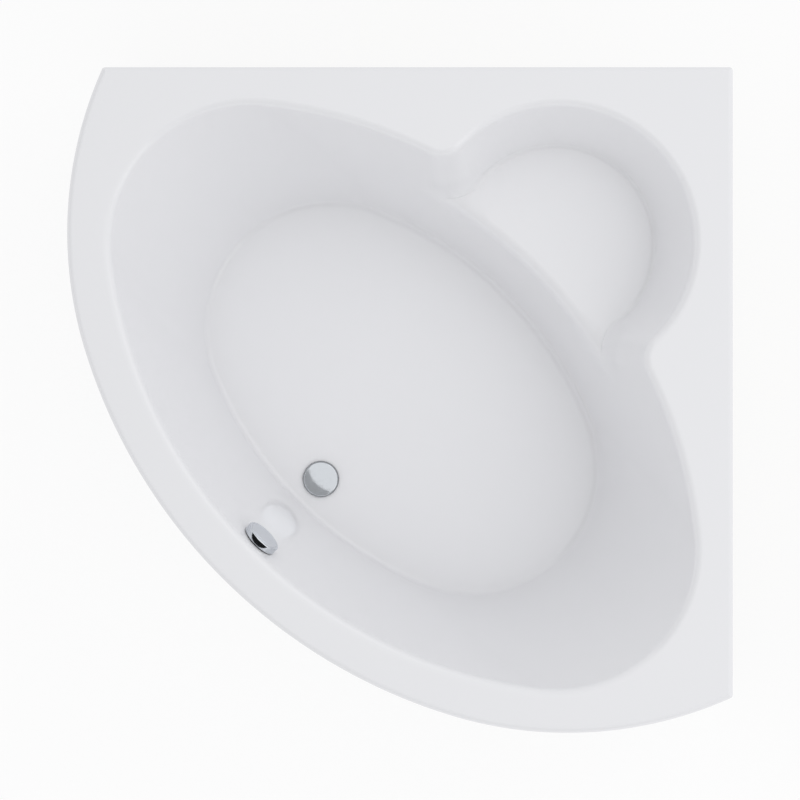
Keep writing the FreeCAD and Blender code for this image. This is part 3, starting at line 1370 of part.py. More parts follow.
def trap_cup():
    """Screwed cup for cleaning, with grips round it."""
    inner = TRAP_RADIUS + RUNNING_GAP
    top = TRAP_BODY_Z + TRAP_CUP_OVERLAP
    cup = turned(
        [
            (0, TRAP_CUP_Z),
            (TRAP_CUP_RADIUS - TRAP_CUP_BEVEL, TRAP_CUP_Z),
            (TRAP_CUP_RADIUS, TRAP_CUP_Z + TRAP_CUP_BEVEL),
            (TRAP_CUP_RADIUS, top),
            (inner, top),
            (inner, TRAP_BODY_Z - RUNNING_GAP),
            (inner - TRAP_WALL, TRAP_BODY_Z - RUNNING_GAP),
            (inner - TRAP_WALL, TRAP_CUP_Z + TRAP_WALL + TRAP_CUP_INNER_BEVEL),
            (inner - TRAP_WALL - TRAP_CUP_INNER_BEVEL, TRAP_CUP_Z + TRAP_WALL),
            (0, TRAP_CUP_Z + TRAP_WALL),
        ]
    )
    for grip in range(TRAP_CUP_GRIPS):
        angle = 2 * math.pi * grip / TRAP_CUP_GRIPS
        reach = TRAP_CUP_RADIUS + TRAP_GRIP_RADIUS - TRAP_GRIP_DEPTH
        place = Vector(reach * math.cos(angle), reach * math.sin(angle), TRAP_CUP_Z)
        cup = cup.cut(cylinder(TRAP_GRIP_RADIUS, top - TRAP_CUP_Z, place))
    return at_drain(only_solid(cup))


def outlet_nut():
    start = TRAP_RADIUS + OUTLET_BOSS_LENGTH - OUTLET_NUT_LENGTH + OUTLET_NUT_OVERHANG
    nut = regular_prism(PLASTIC_NUT_SIDES, OUTLET_NUT_RADIUS, OUTLET_NUT_LENGTH, Vector(0, 0, 0))
    boss = OUTLET_RADIUS + OUTLET_WALL + TRAP_SOCKET_GAP + THREAD_GAP
    nut = nut.cut(cylinder(boss, OUTLET_NUT_LENGTH - OUTLET_NUT_SHOULDER, Vector(0, 0, 0)))
    nut = nut.cut(cylinder(OUTLET_SEAT_RADIUS + TRAP_SOCKET_GAP, OUTLET_NUT_LENGTH, Vector(0, 0, 0)))
    nut.rotate(Vector(0, 0, 0), Vector(1, 0, 0), -90)
    return at_outlet(moved(only_solid(nut), Vector(0, start, OUTLET_Z)))


def outlet_pipe():
    """Waste pipe, slimmer where it sits in the trap, with a free end for the house drain."""
    along = Vector(0, 1, 0)
    bore = OUTLET_RADIUS - OUTLET_WALL
    start = TRAP_RADIUS + TRAP_SOCKET_GAP
    free = TRAP_RADIUS + OUTLET_BOSS_LENGTH + OUTLET_NUT_OVERHANG
    seated = ring(OUTLET_SEAT_RADIUS, bore, free - start, Vector(0, start, OUTLET_Z), along)
    pipe = ring(OUTLET_RADIUS, bore, OUTLET_REACH, Vector(0, free, OUTLET_Z), along)
    return at_outlet(only_solid(fuse_all([seated, pipe])))


# ---- wall brackets and screws ---------------------------------------------------------------


def bracket_places():
    """The two brackets along a wall, from the ends of its batten."""
    corner = OVERALL / 2 - WALL - BATTEN_LIP_GAP
    return (batten_end() + BRACKET_FROM_BOW, corner - BRACKET_FROM_CORNER)


def wall_bracket(y):
    """Steel angle under the batten on the +X side, with two screw holes for the wall."""
    face = OVERALL / 2 - WALL - BRACKET_LIP_GAP
    top = RIM_UNDERSIDE - BATTEN_HEIGHT
    half = BRACKET_LENGTH / 2
    upright = block(face - BRACKET_SHEET, face, y - half, y + half, top - BRACKET_DROP, top)
    level = block(face - BRACKET_WIDTH, face, y - half, y + half, top - BRACKET_SHEET, top)
    angle = fuse_all([upright, level])
    for side in (-1, 1):
        hole_y = y + side * BRACKET_HOLE_SPACING / 2
        place = Vector(face - BRACKET_SHEET, hole_y, top - BRACKET_DROP + BRACKET_HOLE_UP)
        angle = angle.cut(cylinder(BRACKET_HOLE_RADIUS, BRACKET_SHEET, place, Vector(1, 0, 0)))
    hole = Vector(face - BRACKET_WIDTH / 2, y, top - BRACKET_SHEET)
    return only_solid(angle.cut(cylinder(SCREW_RADIUS + SCREW_HOLE_GAP, BRACKET_SHEET, hole)))


def to_rear_wall(shape):
    """The same piece on the +Y side."""
    return shape.mirror(Vector(0, 0, 0), Vector(1, -1, 0).normalize())


def wall_brackets():
    right = [wall_bracket(y) for y in bracket_places()]
    return Part.makeCompound(right + [to_rear_wall(b) for b in right])


def screw_up(place):
    """Pan-head screw that goes up from a sheet at this place."""
    head = cylinder(SCREW_HEAD_RADIUS, SCREW_HEAD_HEIGHT, place - Vector(0, 0, SCREW_HEAD_HEIGHT))
    return head.fuse(cylinder(SCREW_RADIUS, SCREW_LENGTH, place)).removeSplitter()


def bracket_screw_places():
    face = OVERALL / 2 - WALL - BRACKET_LIP_GAP
    z = RIM_UNDERSIDE - BATTEN_HEIGHT - BRACKET_SHEET
    right = [Vector(face - BRACKET_WIDTH / 2, y, z) for y in bracket_places()]
    right.append(clip_screw_place())
    return right + [Vector(p.y, p.x, p.z) for p in right]


def cradle_screw_places():
    """Screws through the channels into the floor board."""
    z = BOARD_UNDERSIDE - CHANNEL_WALL
    board_rear = FLOOR_FRONT + FLOOR_WIDTH - BOARD_MARGIN
    board_front = FLOOR_FRONT + BOARD_MARGIN
    side = FLOOR_LENGTH / 2 - 2 * BOARD_MARGIN
    front_v = (board_front + CROSS_CHANNEL_V) / 2
    rear_v = (board_rear + CROSS_CHANNEL_V) / 2 + CHANNEL_WIDTH
    return [
        Vector(-side, CROSS_CHANNEL_V, z),
        Vector(side, CROSS_CHANNEL_V, z),
        Vector(-FRONT_CHANNEL_U, front_v, z),
        Vector(FRONT_CHANNEL_U, front_v, z),
        Vector(0, rear_v, z),
    ]


def with_screw_holes(shape, places):
    """Holes a little over the screw's size, for the length of the screw."""
    for place in places:
        hole = cylinder(SCREW_RADIUS + SCREW_HOLE_GAP, SCREW_LENGTH + SCREW_HOLE_EXTRA, place)
        shape = shape.cut(hole)
    return only_solid(shape)


# ---- all the pieces -------------------------------------------------------------------------


def all_pieces():
    """Every sub-part by its name; those square to the walls are drawn in place."""
    shell = tub_shell()
    screws = cradle_screw_places()
    along = {
        "tub_shell": shell,
        "base_board": with_screw_holes(base_board(), screws),
        "seat_board": seat_board(),
        "rim_blocks": rim_blocks(),
        "foot_nuts": foot_nuts(),
        "front_panel": front_panel(),
        "panel_catches": panel_catches(),
        "waste_flange": waste_flange(),
        "waste_gaskets": waste_gaskets(),
        "waste_body": waste_body(),
        "plug_cap": plug_cap(),
        "plug_seal": plug_seal(),
        "plug_stem": plug_stem(),
        "lift_lever": lift_lever(),
        "lever_pin": lever_pin(),
        "overflow_plate": overflow_plate(),
        "overflow_gaskets": overflow_gaskets(shell),
        "overflow_body": overflow_body(),
        "overflow_knob": overflow_knob(),
        "knob_spindle": knob_spindle(),
        "cable_crank": cable_crank(),
        "overflow_hose": overflow_hose(),
        "hose_clips": hose_clips(),
        "pull_cable": pull_cable(),
        "cable_glands": cable_glands(),
        "trap_body": trap_body(),
        "trap_inlet_nut": trap_inlet_nut(),
        "trap_seal": trap_seal(),
        "trap_cup": trap_cup(),
        "outlet_nut": outlet_nut(),
        "outlet_pipe": outlet_pipe(),
        "cradle_screws": Part.makeCompound([screw_up(p) for p in screws]),
    }
    for name, shape in cradle().items():
        own = [p for p in screws if shape.BoundBox.isInside(p)]
        along[name] = with_screw_holes(shape, own)
    for name, (u, v) in post_places().items():
        along["post_" + name] = post(u, v)
    for number, (u, v) in enumerate(foot_places(), 1):
        along["foot_pad_%d" % number] = foot_pad(u, v)
        along["foot_stud_%d" % number] = foot_stud(u, v)
    bracket_screws = bracket_screw_places()
    right_batten, rear_batten = wall_battens()
    square = {
        "wall_batten_right": with_screw_holes(right_batten, bracket_screws[:3]),
        "wall_batten_rear": with_screw_holes(rear_batten, bracket_screws[3:]),
        "panel_clips": panel_clips(),
        "wall_brackets": wall_brackets(),
        "bracket_screws": Part.makeCompound([screw_up(p) for p in bracket_screws]),
    }
    for shape in along.values():
        shape.rotate(Vector(0, 0, 0), Vector(0, 0, 1), -45)
    along.update(square)
    return along


os.makedirs("parts", exist_ok=True)
for node, piece in all_pieces().items():
    piece.exportStep("parts/%s.step" % node)
    print(node, piece.isValid(), len(piece.Solids))
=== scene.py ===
import json
import math

import bmesh
import bpy
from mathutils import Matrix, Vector


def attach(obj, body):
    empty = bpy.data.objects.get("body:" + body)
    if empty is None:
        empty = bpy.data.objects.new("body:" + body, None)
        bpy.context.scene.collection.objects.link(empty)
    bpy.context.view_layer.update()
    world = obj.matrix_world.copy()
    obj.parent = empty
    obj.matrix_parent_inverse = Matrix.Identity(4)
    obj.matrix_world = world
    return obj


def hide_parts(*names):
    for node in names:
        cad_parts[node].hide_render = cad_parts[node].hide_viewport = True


bl_info = {
    "name": "Corner Bathtub",
    "version": (1, 0, 0),
    "blender": (4, 5, 0),
    "location": "3D View > Sidebar > Bathtub",
    "description": "Models and finishes a corner bathtub with its waste, overflow, panel and cradle",
    "category": "Object",
}

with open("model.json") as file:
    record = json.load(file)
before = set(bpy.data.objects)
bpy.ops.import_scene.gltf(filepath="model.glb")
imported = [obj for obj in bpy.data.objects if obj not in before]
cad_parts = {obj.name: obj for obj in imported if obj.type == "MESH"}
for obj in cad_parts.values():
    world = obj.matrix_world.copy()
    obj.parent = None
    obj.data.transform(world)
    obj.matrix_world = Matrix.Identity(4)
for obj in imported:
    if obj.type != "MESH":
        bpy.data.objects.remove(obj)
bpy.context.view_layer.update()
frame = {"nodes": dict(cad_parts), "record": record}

MM = 0.001
HALF_TURN = math.pi
MERGE = 0.01 * MM       # vertices closer than this are one
ON_LEVEL = 0.001 * MM   # a vertex this close to a height lies on it


# ---- Small tools


def to_linear(code):
    """Turns an sRGB hex colour into the linear colour that a shader takes."""
    channels = []
    for start in (1, 3, 5):
        value = int(code[start : start + 2], 16) / 255
        channels.append(value / 12.92 if value <= 0.04045 else ((value + 0.055) / 1.055) ** 2.4)
    return (*channels, 1.0)


def add_node(tree, kind, inputs=None, stops=(), **settings):
    """Adds a shader node. An input is a constant, or the node or socket that feeds it; stops are a ramp's."""
    made = tree.nodes.new("ShaderNode" + kind)
    for name, value in settings.items():
        setattr(made, name, value)
    for name, value in (inputs or {}).items():
        if isinstance(value, bpy.types.Node):
            value = value.outputs[0]
        if isinstance(value, bpy.types.NodeSocket):
            tree.links.new(value, made.inputs[name])
        else:
            made.inputs[name].default_value = value
    for number, (position, tone) in enumerate(stops):
        made.color_ramp.elements[number].position = position
        made.color_ramp.elements[number].color = tone
    return made


def across(u, v, z):
    """From across the tub, along its line of symmetry and up, in mm, to its place in metres."""
    side = math.sqrt(0.5)
    return Vector(((u + v) * side, (v - u) * side, z)) * MM


def clear_selection():
    if bpy.context.object and bpy.context.object.mode != "OBJECT":
        bpy.ops.object.mode_set(mode="OBJECT")
    bpy.ops.object.select_all(action="DESELECT")


def take_up(piece):
    """Makes one piece the only selected and active one."""
    clear_selection()
    piece.select_set(True)
    bpy.context.view_layer.objects.active = piece


def placed(piece, name, body, node):
    """Names a piece, gives it its body and hides the CAD node that it stands for."""
    clear_selection()
    piece.name = name
    piece.data.name = name
    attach(piece, body)
    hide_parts(node)


def finished(piece, name, body, node, sharp=40):
    """Smooths a mesh up to the sharp angle, applies its place, names it, gives it its body and hides the CAD node it
    stands for.
    """
    take_up(piece)
    bpy.ops.object.shade_smooth_by_angle(angle=math.radians(sharp))
    bpy.ops.object.transform_apply(location=True, rotation=True, scale=True)
    piece.data.attributes.remove(piece.data.attributes["place"])
    placed(piece, name, body, node)


def apply_modifier(piece, kind, **settings):
    take_up(piece)
    made = piece.modifiers.new(kind.title(), kind)
    for name, value in settings.items():
        setattr(made, name, value)
    bpy.ops.object.modifier_apply(modifier=made.name)


def new_loop(points, closed=True):
    """A ring or an open line of vertices at these points, each with its number in the layer place."""
    clear_selection()
    bpy.ops.mesh.primitive_circle_add(vertices=len(points), radius=1.0, fill_type="NOTHING")
    piece = bpy.context.object
    bpy.ops.object.mode_set(mode="EDIT")
    shape = bmesh.from_edit_mesh(piece.data)
    place = shape.verts.layers.int.new("place")
    shape.verts.ensure_lookup_table()
    for number, vertex in enumerate(shape.verts):
        vertex[place] = number
        vertex.co = points[number]
    if not closed:
        ends = (shape.verts[0], shape.verts[len(points) - 1])
        shape.edges.remove(shape.edges.get(ends))
    bmesh.update_edit_mesh(piece.data)
    bpy.ops.mesh.select_all(action="SELECT")
    return piece


def skin(rows):
    """A ring at the first row, extruded once to each of the others, and left in edit mode."""
    piece = new_loop(rows[0])
    for points in rows[1:]:
        bpy.ops.mesh.extrude_edges_move()
        shape = bmesh.from_edit_mesh(piece.data)
        place = shape.verts.layers.int["place"]
        for vertex in shape.verts:
            if vertex.select:
                vertex.co = points[vertex[place]]
        bmesh.update_edit_mesh(piece.data)
    return piece


def close_up(gap=MERGE):
    """Merges doubles, turns the faces outwards and leaves edit mode."""
    bpy.ops.mesh.select_all(action="SELECT")
    bpy.ops.mesh.remove_doubles(threshold=gap)
    bpy.ops.mesh.normals_make_consistent(inside=False)
    bpy.ops.object.mode_set(mode="OBJECT")


def join_to(piece, other):
    """Joins another mesh to a piece, which is left in edit mode."""
    take_up(other)
    piece.select_set(True)
    bpy.context.view_layer.objects.active = piece
    bpy.ops.object.join()
    bpy.ops.object.mode_set(mode="EDIT")


def select_where(piece, wanted, kind):
    """Selects the edges or faces of the edited mesh that pass the test."""
    bpy.ops.mesh.select_mode(type=kind)
    bpy.ops.mesh.select_all(action="DESELECT")
    shape = bmesh.from_edit_mesh(piece.data)
    for part in shape.edges if kind == "EDGE" else shape.faces:
        if wanted(part):
            part.select_set(True)
    shape.select_flush_mode()
    bmesh.update_edit_mesh(piece.data)


def fill_edges(piece, wanted):
    select_where(piece, wanted, "EDGE")
    bpy.ops.mesh.fill(use_beauty=True)


def corner_arc(corner, arriving, leaving, radius, steps):
    """Points of an arc that rounds a corner between two directions."""
    turn = arriving.angle(leaving)
    start = corner - arriving * (radius * math.tan(turn / 2))
    inward = (leaving - arriving * leaving.dot(arriving)).normalized()
    points = []
    for step in range(steps + 1):
        angle = turn * step / steps
        points.append(start + arriving * radius * math.sin(angle) + inward * radius * (1 - math.cos(angle)))
    return points


# ---- Sizes and colours


def millimetres(name, description, default, low=0.0, high=3000.0):
    return bpy.props.FloatProperty(
        name=name, description=description, default=default * MM, min=low * MM, max=high * MM,
        unit="LENGTH", subtype="DISTANCE", precision=4,
    )


def colour(name, description, code):
    return bpy.props.FloatVectorProperty(
        name=name, description=description, default=to_linear(code), size=4, min=0.0, max=1.0,
        subtype="COLOR",
    )


def watts(name, description, default):
    return bpy.props.FloatProperty(
        name=name, description=description, default=default, min=0.0, max=5000.0, unit="POWER",
    )


class BathShellSizes(bpy.types.PropertyGroup):
    """Sizes of the moulded shell."""

    wall: millimetres("Wall", "Acrylic sheet with its glass-fibre backing", 5.0)
    rim_rounding: millimetres("Rim Rounding", "From the flat rim into the basin", 20.0)
    lip_rounding: millimetres("Lip Rounding", "Upper outside edge of the rim", 10.0)
    lip_drop: millimetres("Lip Drop", "Height of the turned-down edge", 40.0)
    floor_rounding: millimetres("Floor Rounding", "Between the floor and the walls", 18.0)
    seat_rounding: millimetres("Seat Back Rounding", "Between the seat and the wall behind it", 12.0)
    seat_edge: millimetres("Seat Edge Rounding", "Front edge of the seat, over the basin", 30.0)
    shoulder: millimetres("Shoulder Rounding", "Where the seat's pocket opens into the basin", 60.0)


class BathFittingSizes(bpy.types.PropertyGroup):
    """Sizes of the waste, the overflow and the front panel."""

    cap_dome: millimetres("Cap Dome", "How much the middle of the drain cap stands above its edge", 1.4)
    cap_rounding: millimetres("Cap Rounding", "Rounded edge of the drain cap", 1.6)
    knob_rounding: millimetres("Knob Rounding", "Rounded edge of the overflow knob", 2.6)
    knob_groove: millimetres("Knob Groove", "Depth of the fine groove round the knob's face", 0.5)
    panel_thickness: millimetres("Panel Thickness", "Sheet of the front panel", 4.0)


class BathColours(bpy.types.PropertyGroup):
    """Colours of the finishes."""

    acrylic: colour("Acrylic", "Polished sanitary acrylic", "#F3F3F5")
    backing: colour("Backing", "Sprayed glass fibre and resin", "#D5CFB8")
    board: colour("Board", "Pressed chipboard", "#B48F62")
    batten: colour("Batten", "Planed softwood", "#CDA873")
    galvanised: colour("Galvanised", "Hot-dipped zinc on steel", "#A2A7AB")
    zinc: colour("Zinc", "Bright zinc plating on fasteners", "#C6C7C1")
    chrome: colour("Chrome", "Polished chrome plating", "#D4D8DD")
    stainless: colour("Stainless", "Drawn stainless steel", "#B9BABC")
    pads: colour("Pads", "Black polyamide", "#16171A")
    pipes: colour("Pipes", "White polypropylene", "#DEDEDA")
    hose: colour("Hose", "Grey polypropylene of the hose", "#9CA1A6")
    sheath: colour("Sheath", "Black cable sheath", "#1B1C1F")
    rubber: colour("Rubber", "Black sealing rubber", "#222224")


class BathStage(bpy.types.PropertyGroup):
    """The floor, the lamps and the camera."""

    camera_height: millimetres("Camera Height", "Height of the camera above the floor", 8620.0, 100, 20000)
    lens: bpy.props.FloatProperty(
        name="Lens", description="Focal length that frames the tub as the photograph does",
        default=171.4, min=10.0, max=500.0, unit="CAMERA",
    )
    key_power: watts("Key Lamp", "Power of the large lamp to the upper right", 31.0)
    fill_power: watts("Fill Lamp", "Power of the large lamp to the lower right", 32.0)
    room_light: bpy.props.FloatProperty(
        name="Room Light", description="Even light from all round", default=0.785, min=0.0, max=2.0,
        subtype="FACTOR",
    )


# ---- Finishes
# A pattern's scale is in repeats to the metre: 16 is a repeat every 62 mm, 500 one every 2 mm.


def new_material(name):
    made = bpy.data.materials.new(name)
    made.use_nodes = True
    made.node_tree.nodes.clear()
    return made, made.node_tree


def new_finish(name):
    """A bare material, its node tree and its Object coordinates."""
    made, tree = new_material(name)
    return made, tree, add_node(tree, "TexCoord").outputs["Object"]


def surfaced(made, inputs, kind="BsdfPrincipled"):
    """Ends a material with its shader and its output."""
    shader = add_node(made.node_tree, kind, inputs)
    add_node(made.node_tree, "OutputMaterial", {"Surface": shader})
    return made


def tones(base, *stops):
    """Stops of a ramp: at each position the colour times a share, or times a share for each channel."""
    made = []
    for position, share in stops:
        shares = share if isinstance(share, tuple) else (share, share, share)
        made.append((position, (*[min(1.0, c * s) for c, s in zip(base[:3], shares)], 1.0)))
    return made


def sanitary_acrylic(colours):
    """Thermoformed cast acrylic: glossy and even, with a faint ripple from the mould."""
    made, tree, place = new_finish("Thermoformed sanitary acrylic")
    # The sheet stretches over the mould, which leaves a ripple some 60 mm long in the reflections.
    ripple = add_node(tree, "TexNoise", {"Vector": place, "Scale": 16.0, "Detail": 1.0})
    bump = add_node(tree, "Bump", {"Height": ripple, "Strength": 0.035, "Distance": 0.004})
    # Wiping leaves soft patches that are a little less glossy.
    wiped = add_node(tree, "TexNoise", {"Vector": place, "Scale": 5.0, "Detail": 4.0})
    rough = add_node(tree, "MapRange", {
        "Value": wiped, "From Min": 0.3, "From Max": 0.7, "To Min": 0.10, "To Max": 0.17})
    tint = add_node(tree, "ValToRGB", {"Fac": wiped}, tones(colours.acrylic, (0, 0.992), (1, 1.0)))
    return surfaced(made, {"Base Color": tint, "Roughness": rough, "Normal": bump, "IOR": 1.49})


def glass_fibre(colours):
    """Chopped strand in resin, rolled on by hand: matt cream with crossing strands."""
    made, tree, place = new_finish("Rolled glass fibre and resin")
    # Strands are about 1 mm wide and 40 mm long, in every direction: three stretched noises.
    strands = None
    for turn in (0.3, 1.4, 2.5):
        laid = add_node(tree, "Mapping", {
            "Vector": place, "Rotation": (turn, 0.4 * turn, turn), "Scale": (500.0, 24.0, 24.0)})
        noise = add_node(tree, "TexNoise", {"Vector": laid, "Scale": 1.0, "Detail": 2.0})
        if strands:
            noise = add_node(tree, "Math", {0: strands, 1: noise}, operation="MAXIMUM")
        strands = noise
    pooled = add_node(tree, "TexNoise", {"Vector": place, "Scale": 7.0, "Detail": 3.0})
    mixed = add_node(tree, "Math", {0: strands, 1: pooled}, operation="MULTIPLY")
    tint = add_node(tree, "ValToRGB", {"Fac": mixed}, tones(colours.backing, (0.18, 0.72), (0.48, 1.12)))
    bump = add_node(tree, "Bump", {"Height": strands, "Strength": 0.5, "Distance": 0.001})
    return surfaced(made, {"Base Color": tint, "Normal": bump, "Roughness": 0.42, "IOR": 1.52})


def chipboard(colours):
    """Pressed chipboard: flat chips of about 4 mm in lighter and darker tans."""
    made, tree, place = new_finish("Pressed chipboard")
    chips = add_node(tree, "TexVoronoi", {"Vector": place, "Scale": 260.0})
    dust = add_node(tree, "TexNoise", {"Vector": place, "Scale": 900.0, "Detail": 2.0})
    value = add_node(tree, "SeparateColor", {0: chips.outputs["Color"]})
    tint = add_node(tree, "ValToRGB", {"Fac": value}, tones(colours.board, (0, 0.62), (1, 1.25)))
    bump = add_node(tree, "Bump", {"Height": dust, "Strength": 0.4, "Distance": 0.0005})
    return surfaced(made, {"Base Color": tint, "Normal": bump, "Roughness": 0.78})


def softwood(colours, along):
    """Planed spruce: pale grain lines a few millimetres apart, along the batten."""
    made, tree, place = new_finish("Planed spruce along " + "XY"[along])
    # The grain runs along the batten, so the pattern is stretched twenty times that way.
    stretch = [26.0, 26.0, 26.0]
    stretch[along] = 1.3
    laid = add_node(tree, "Mapping", {"Vector": place, "Scale": stretch})
    bend = add_node(tree, "TexNoise", {"Vector": laid, "Scale": 1.0, "Detail": 3.0})
    rings = add_node(tree, "Math", {0: bend, 1: 15.0}, operation="MULTIPLY")
    wave = add_node(tree, "Math", {0: rings}, operation="FRACT")
    tint = add_node(tree, "ValToRGB", {"Fac": wave}, tones(colours.batten, (0.35, 1.1), (1, 0.66)))
    bump = add_node(tree, "Bump", {"Height": wave, "Strength": 0.15, "Distance": 0.0004})
    return surfaced(made, {"Base Color": tint, "Normal": bump, "Roughness": 0.62})


def galvanised_steel(colours):
    """Hot-dip galvanised steel: zinc crystals of about 12 mm that catch the light differently."""
    made, tree, place = new_finish("Hot-dip galvanised steel")
    spangle = add_node(tree, "TexVoronoi", {"Vector": place, "Scale": 85.0})
    value = add_node(tree, "SeparateColor", {0: spangle.outputs["Color"]})
    tint = add_node(tree, "ValToRGB", {"Fac": value}, tones(colours.galvanised, (0, 0.82), (1, 1.15)))
    rough = add_node(tree, "MapRange", {"Value": value.outputs[1], "To Min": 0.32, "To Max": 0.52})
    grain = add_node(tree, "TexNoise", {"Vector": place, "Scale": 700.0, "Detail": 2.0})
    bump = add_node(tree, "Bump", {"Height": grain, "Strength": 0.12, "Distance": 0.0003})
    return surfaced(made, {"Base Color": tint, "Roughness": rough, "Normal": bump, "Metallic": 1.0})


def bright_zinc(colours):
    """Electroplated zinc on fasteners: bright, with a cool and a straw tint in patches of 8 mm."""
    made, tree, place = new_finish("Bright zinc plating")
    patches = add_node(tree, "TexNoise", {"Vector": place, "Scale": 130.0, "Detail": 2.0})
    cool, straw = (0.90, 0.96, 1.05), (1.06, 1.02, 0.86)
    tint = add_node(tree, "ValToRGB", {"Fac": patches}, tones(colours.zinc, (0.35, cool), (0.65, straw)))
    scuffs = add_node(tree, "TexNoise", {"Vector": place, "Scale": 420.0, "Detail": 5.0})
    rough = add_node(tree, "MapRange", {"Value": scuffs, "To Min": 0.16, "To Max": 0.42})
    return surfaced(made, {"Base Color": tint, "Roughness": rough, "Metallic": 1.0})


def chrome_plating(colours, name="Polished chrome plating", shade=1.0):
    """Polished chrome: mirror-like, with dried water marks of 6 mm; a shade below 1 darkens the whole colour as
    painted shade.
    """
    made, tree, place = new_finish(name)
    marks = add_node(tree, "TexNoise", {"Vector": place, "Scale": 160.0, "Detail": 4.0})
    rough = add_node(tree, "MapRange", {
        "Value": marks, "From Min": 0.45, "From Max": 0.8, "To Min": 0.05, "To Max": 0.16})
    tint = add_node(tree, "ValToRGB", {"Fac": marks}, tones(colours.chrome, (0, shade), (1, 0.96 * shade)))
    return surfaced(made, {"Base Color": tint, "Roughness": rough, "Metallic": 1.0})


def drawn_stainless(colours):
    """Drawn stainless steel: lines about 1 mm apart along the stock, drawn coarser than real to show."""
    made, tree, place = new_finish("Drawn stainless steel")
    lines = add_node(tree, "Mapping", {"Vector": place, "Scale": (900.0, 900.0, 25.0)})
    noise = add_node(tree, "TexNoise", {"Vector": lines, "Scale": 1.0, "Detail": 2.0})
    tint = add_node(tree, "ValToRGB", {"Fac": noise}, tones(colours.stainless, (0, 0.86), (1, 1.1)))
    rough = add_node(tree, "MapRange", {"Value": noise, "To Min": 0.2, "To Max": 0.36})
    return surfaced(made, {"Base Color": tint, "Roughness": rough, "Metallic": 1.0})


def moulded_plastic(name, base, roughness, grain_mm, depth, ior=1.5):
    """Injection-moulded plastic: even colour, with the fine grain of the mould."""
    made, tree, place = new_finish(name)
    grain = add_node(tree, "TexNoise", {"Vector": place, "Scale": 1000.0 / grain_mm, "Detail": 2.0})
    flow = add_node(tree, "TexNoise", {"Vector": place, "Scale": 30.0, "Detail": 3.0})
    tint = add_node(tree, "ValToRGB", {"Fac": flow}, tones(base, (0, 0.93), (1, 1.04)))
    rough = add_node(tree, "MapRange", {
        "Value": flow, "To Min": roughness - 0.05, "To Max": roughness + 0.08})
    bump = add_node(tree, "Bump", {"Height": grain, "Strength": depth, "Distance": 0.0004})
    return surfaced(made, {"Base Color": tint, "Roughness": rough, "Normal": bump, "IOR": ior})


def sealing_rubber(colours):
    """Moulded rubber: nearly black and matt, with a dusting of talc."""
    made, tree, place = new_finish("Sealing rubber")
    talc = add_node(tree, "TexNoise", {"Vector": place, "Scale": 220.0, "Detail": 6.0})
    tint = add_node(tree, "ValToRGB", {"Fac": talc}, tones(colours.rubber, (0.5, 1.0), (0.8, 2.2)))
    bump = add_node(tree, "Bump", {"Height": talc, "Strength": 0.2, "Distance": 0.0004})
    return surfaced(made, {"Base Color": tint, "Normal": bump, "Roughness": 0.72})


FINISHES = {}


def finish_of(name):
    """The finish, made once for all the pieces that share it."""
    if not FINISHES:
        colours = bpy.context.scene.bath_colours
        FINISHES.update({
            "acrylic": sanitary_acrylic(colours),
            "backing": glass_fibre(colours),
            "chipboard": chipboard(colours),
            "batten_x": softwood(colours, 0),
            "batten_y": softwood(colours, 1),
            "galvanised_steel": galvanised_steel(colours),
            "zinc_plated_steel": bright_zinc(colours),
            "chrome": chrome_plating(colours),
            # Chrome darkened to 45 %: painted shade for the dark ring of the waste's flange round the cap.
            "painted_shade_chrome": chrome_plating(colours, "Chrome plating darkened as painted shade", 0.45),
            "stainless_steel": drawn_stainless(colours),
            "black_plastic": moulded_plastic("Moulded black polyamide", colours.pads, 0.46, 0.7, 0.25, 1.53),
            "white_plastic": moulded_plastic("Moulded white polypropylene", colours.pipes, 0.38, 1.2, 0.12),
            "hose_plastic": moulded_plastic("Blown grey polypropylene", colours.hose, 0.42, 1.6, 0.15),
            "cable_sheath": moulded_plastic("Extruded black sheath", colours.sheath, 0.34, 0.9, 0.15),
            "rubber": sealing_rubber(colours),
        })
    return FINISHES[name]


def coat(piece, *names):
    piece.data.materials.clear()
    for name in names:
        piece.data.materials.append(finish_of(name))


# ---- Outline of the tub, in mm

SIDE = 1400.0
RIM = 620.0
FLOOR = 200.0
SEAT = 420.0
APEX = SIDE / math.sqrt(2)
BOW_FRONT_RADIUS = 1160.0
BOW_END_RADIUS = 840.0
BOW_JOIN = math.radians(28)
BOW_STEP = BOW_FRONT_RADIUS - BOW_END_RADIUS
BOW_DEPTH = (
    (SIDE - BOW_END_RADIUS) * math.sqrt(2) - BOW_STEP * (math.sin(BOW_JOIN) + math.cos(BOW_JOIN)) + BOW_FRONT_RADIUS
)
BOW_FRONT = APEX - BOW_DEPTH
BOW_CENTRE = BOW_FRONT + BOW_FRONT_RADIUS
BOW_END_U = BOW_STEP * math.sin(BOW_JOIN)
BOW_END_V = BOW_CENTRE - BOW_STEP * math.cos(BOW_JOIN)
BOW_END_X = (BOW_END_U + BOW_END_V) / math.sqrt(2)
BOW_END_Y = (BOW_END_V - BOW_END_U) / math.sqrt(2)
FRONT_LEDGE = 88.0           # flat of the rim at the bow
FRONT_SLOPE = 124.0          # how far the front wall leans in, from the rim to the floor
LEAN = math.atan2(FRONT_SLOPE, RIM - FLOOR)
POCKET_FROM_CORNER = 230.0
POCKET_TOP_RADIUS = 288.0
POCKET_BASE_RADIUS = 214.0
SEAT_V = APEX - POCKET_FROM_CORNER - POCKET_TOP_RADIUS
DRAIN_FROM_BASIN = 194.0
DRAIN_V = BOW_FRONT + FRONT_LEDGE + DRAIN_FROM_BASIN
OVERFLOW_DROP = 62.0         # its middle below the rim
OVERFLOW_Z = RIM - OVERFLOW_DROP


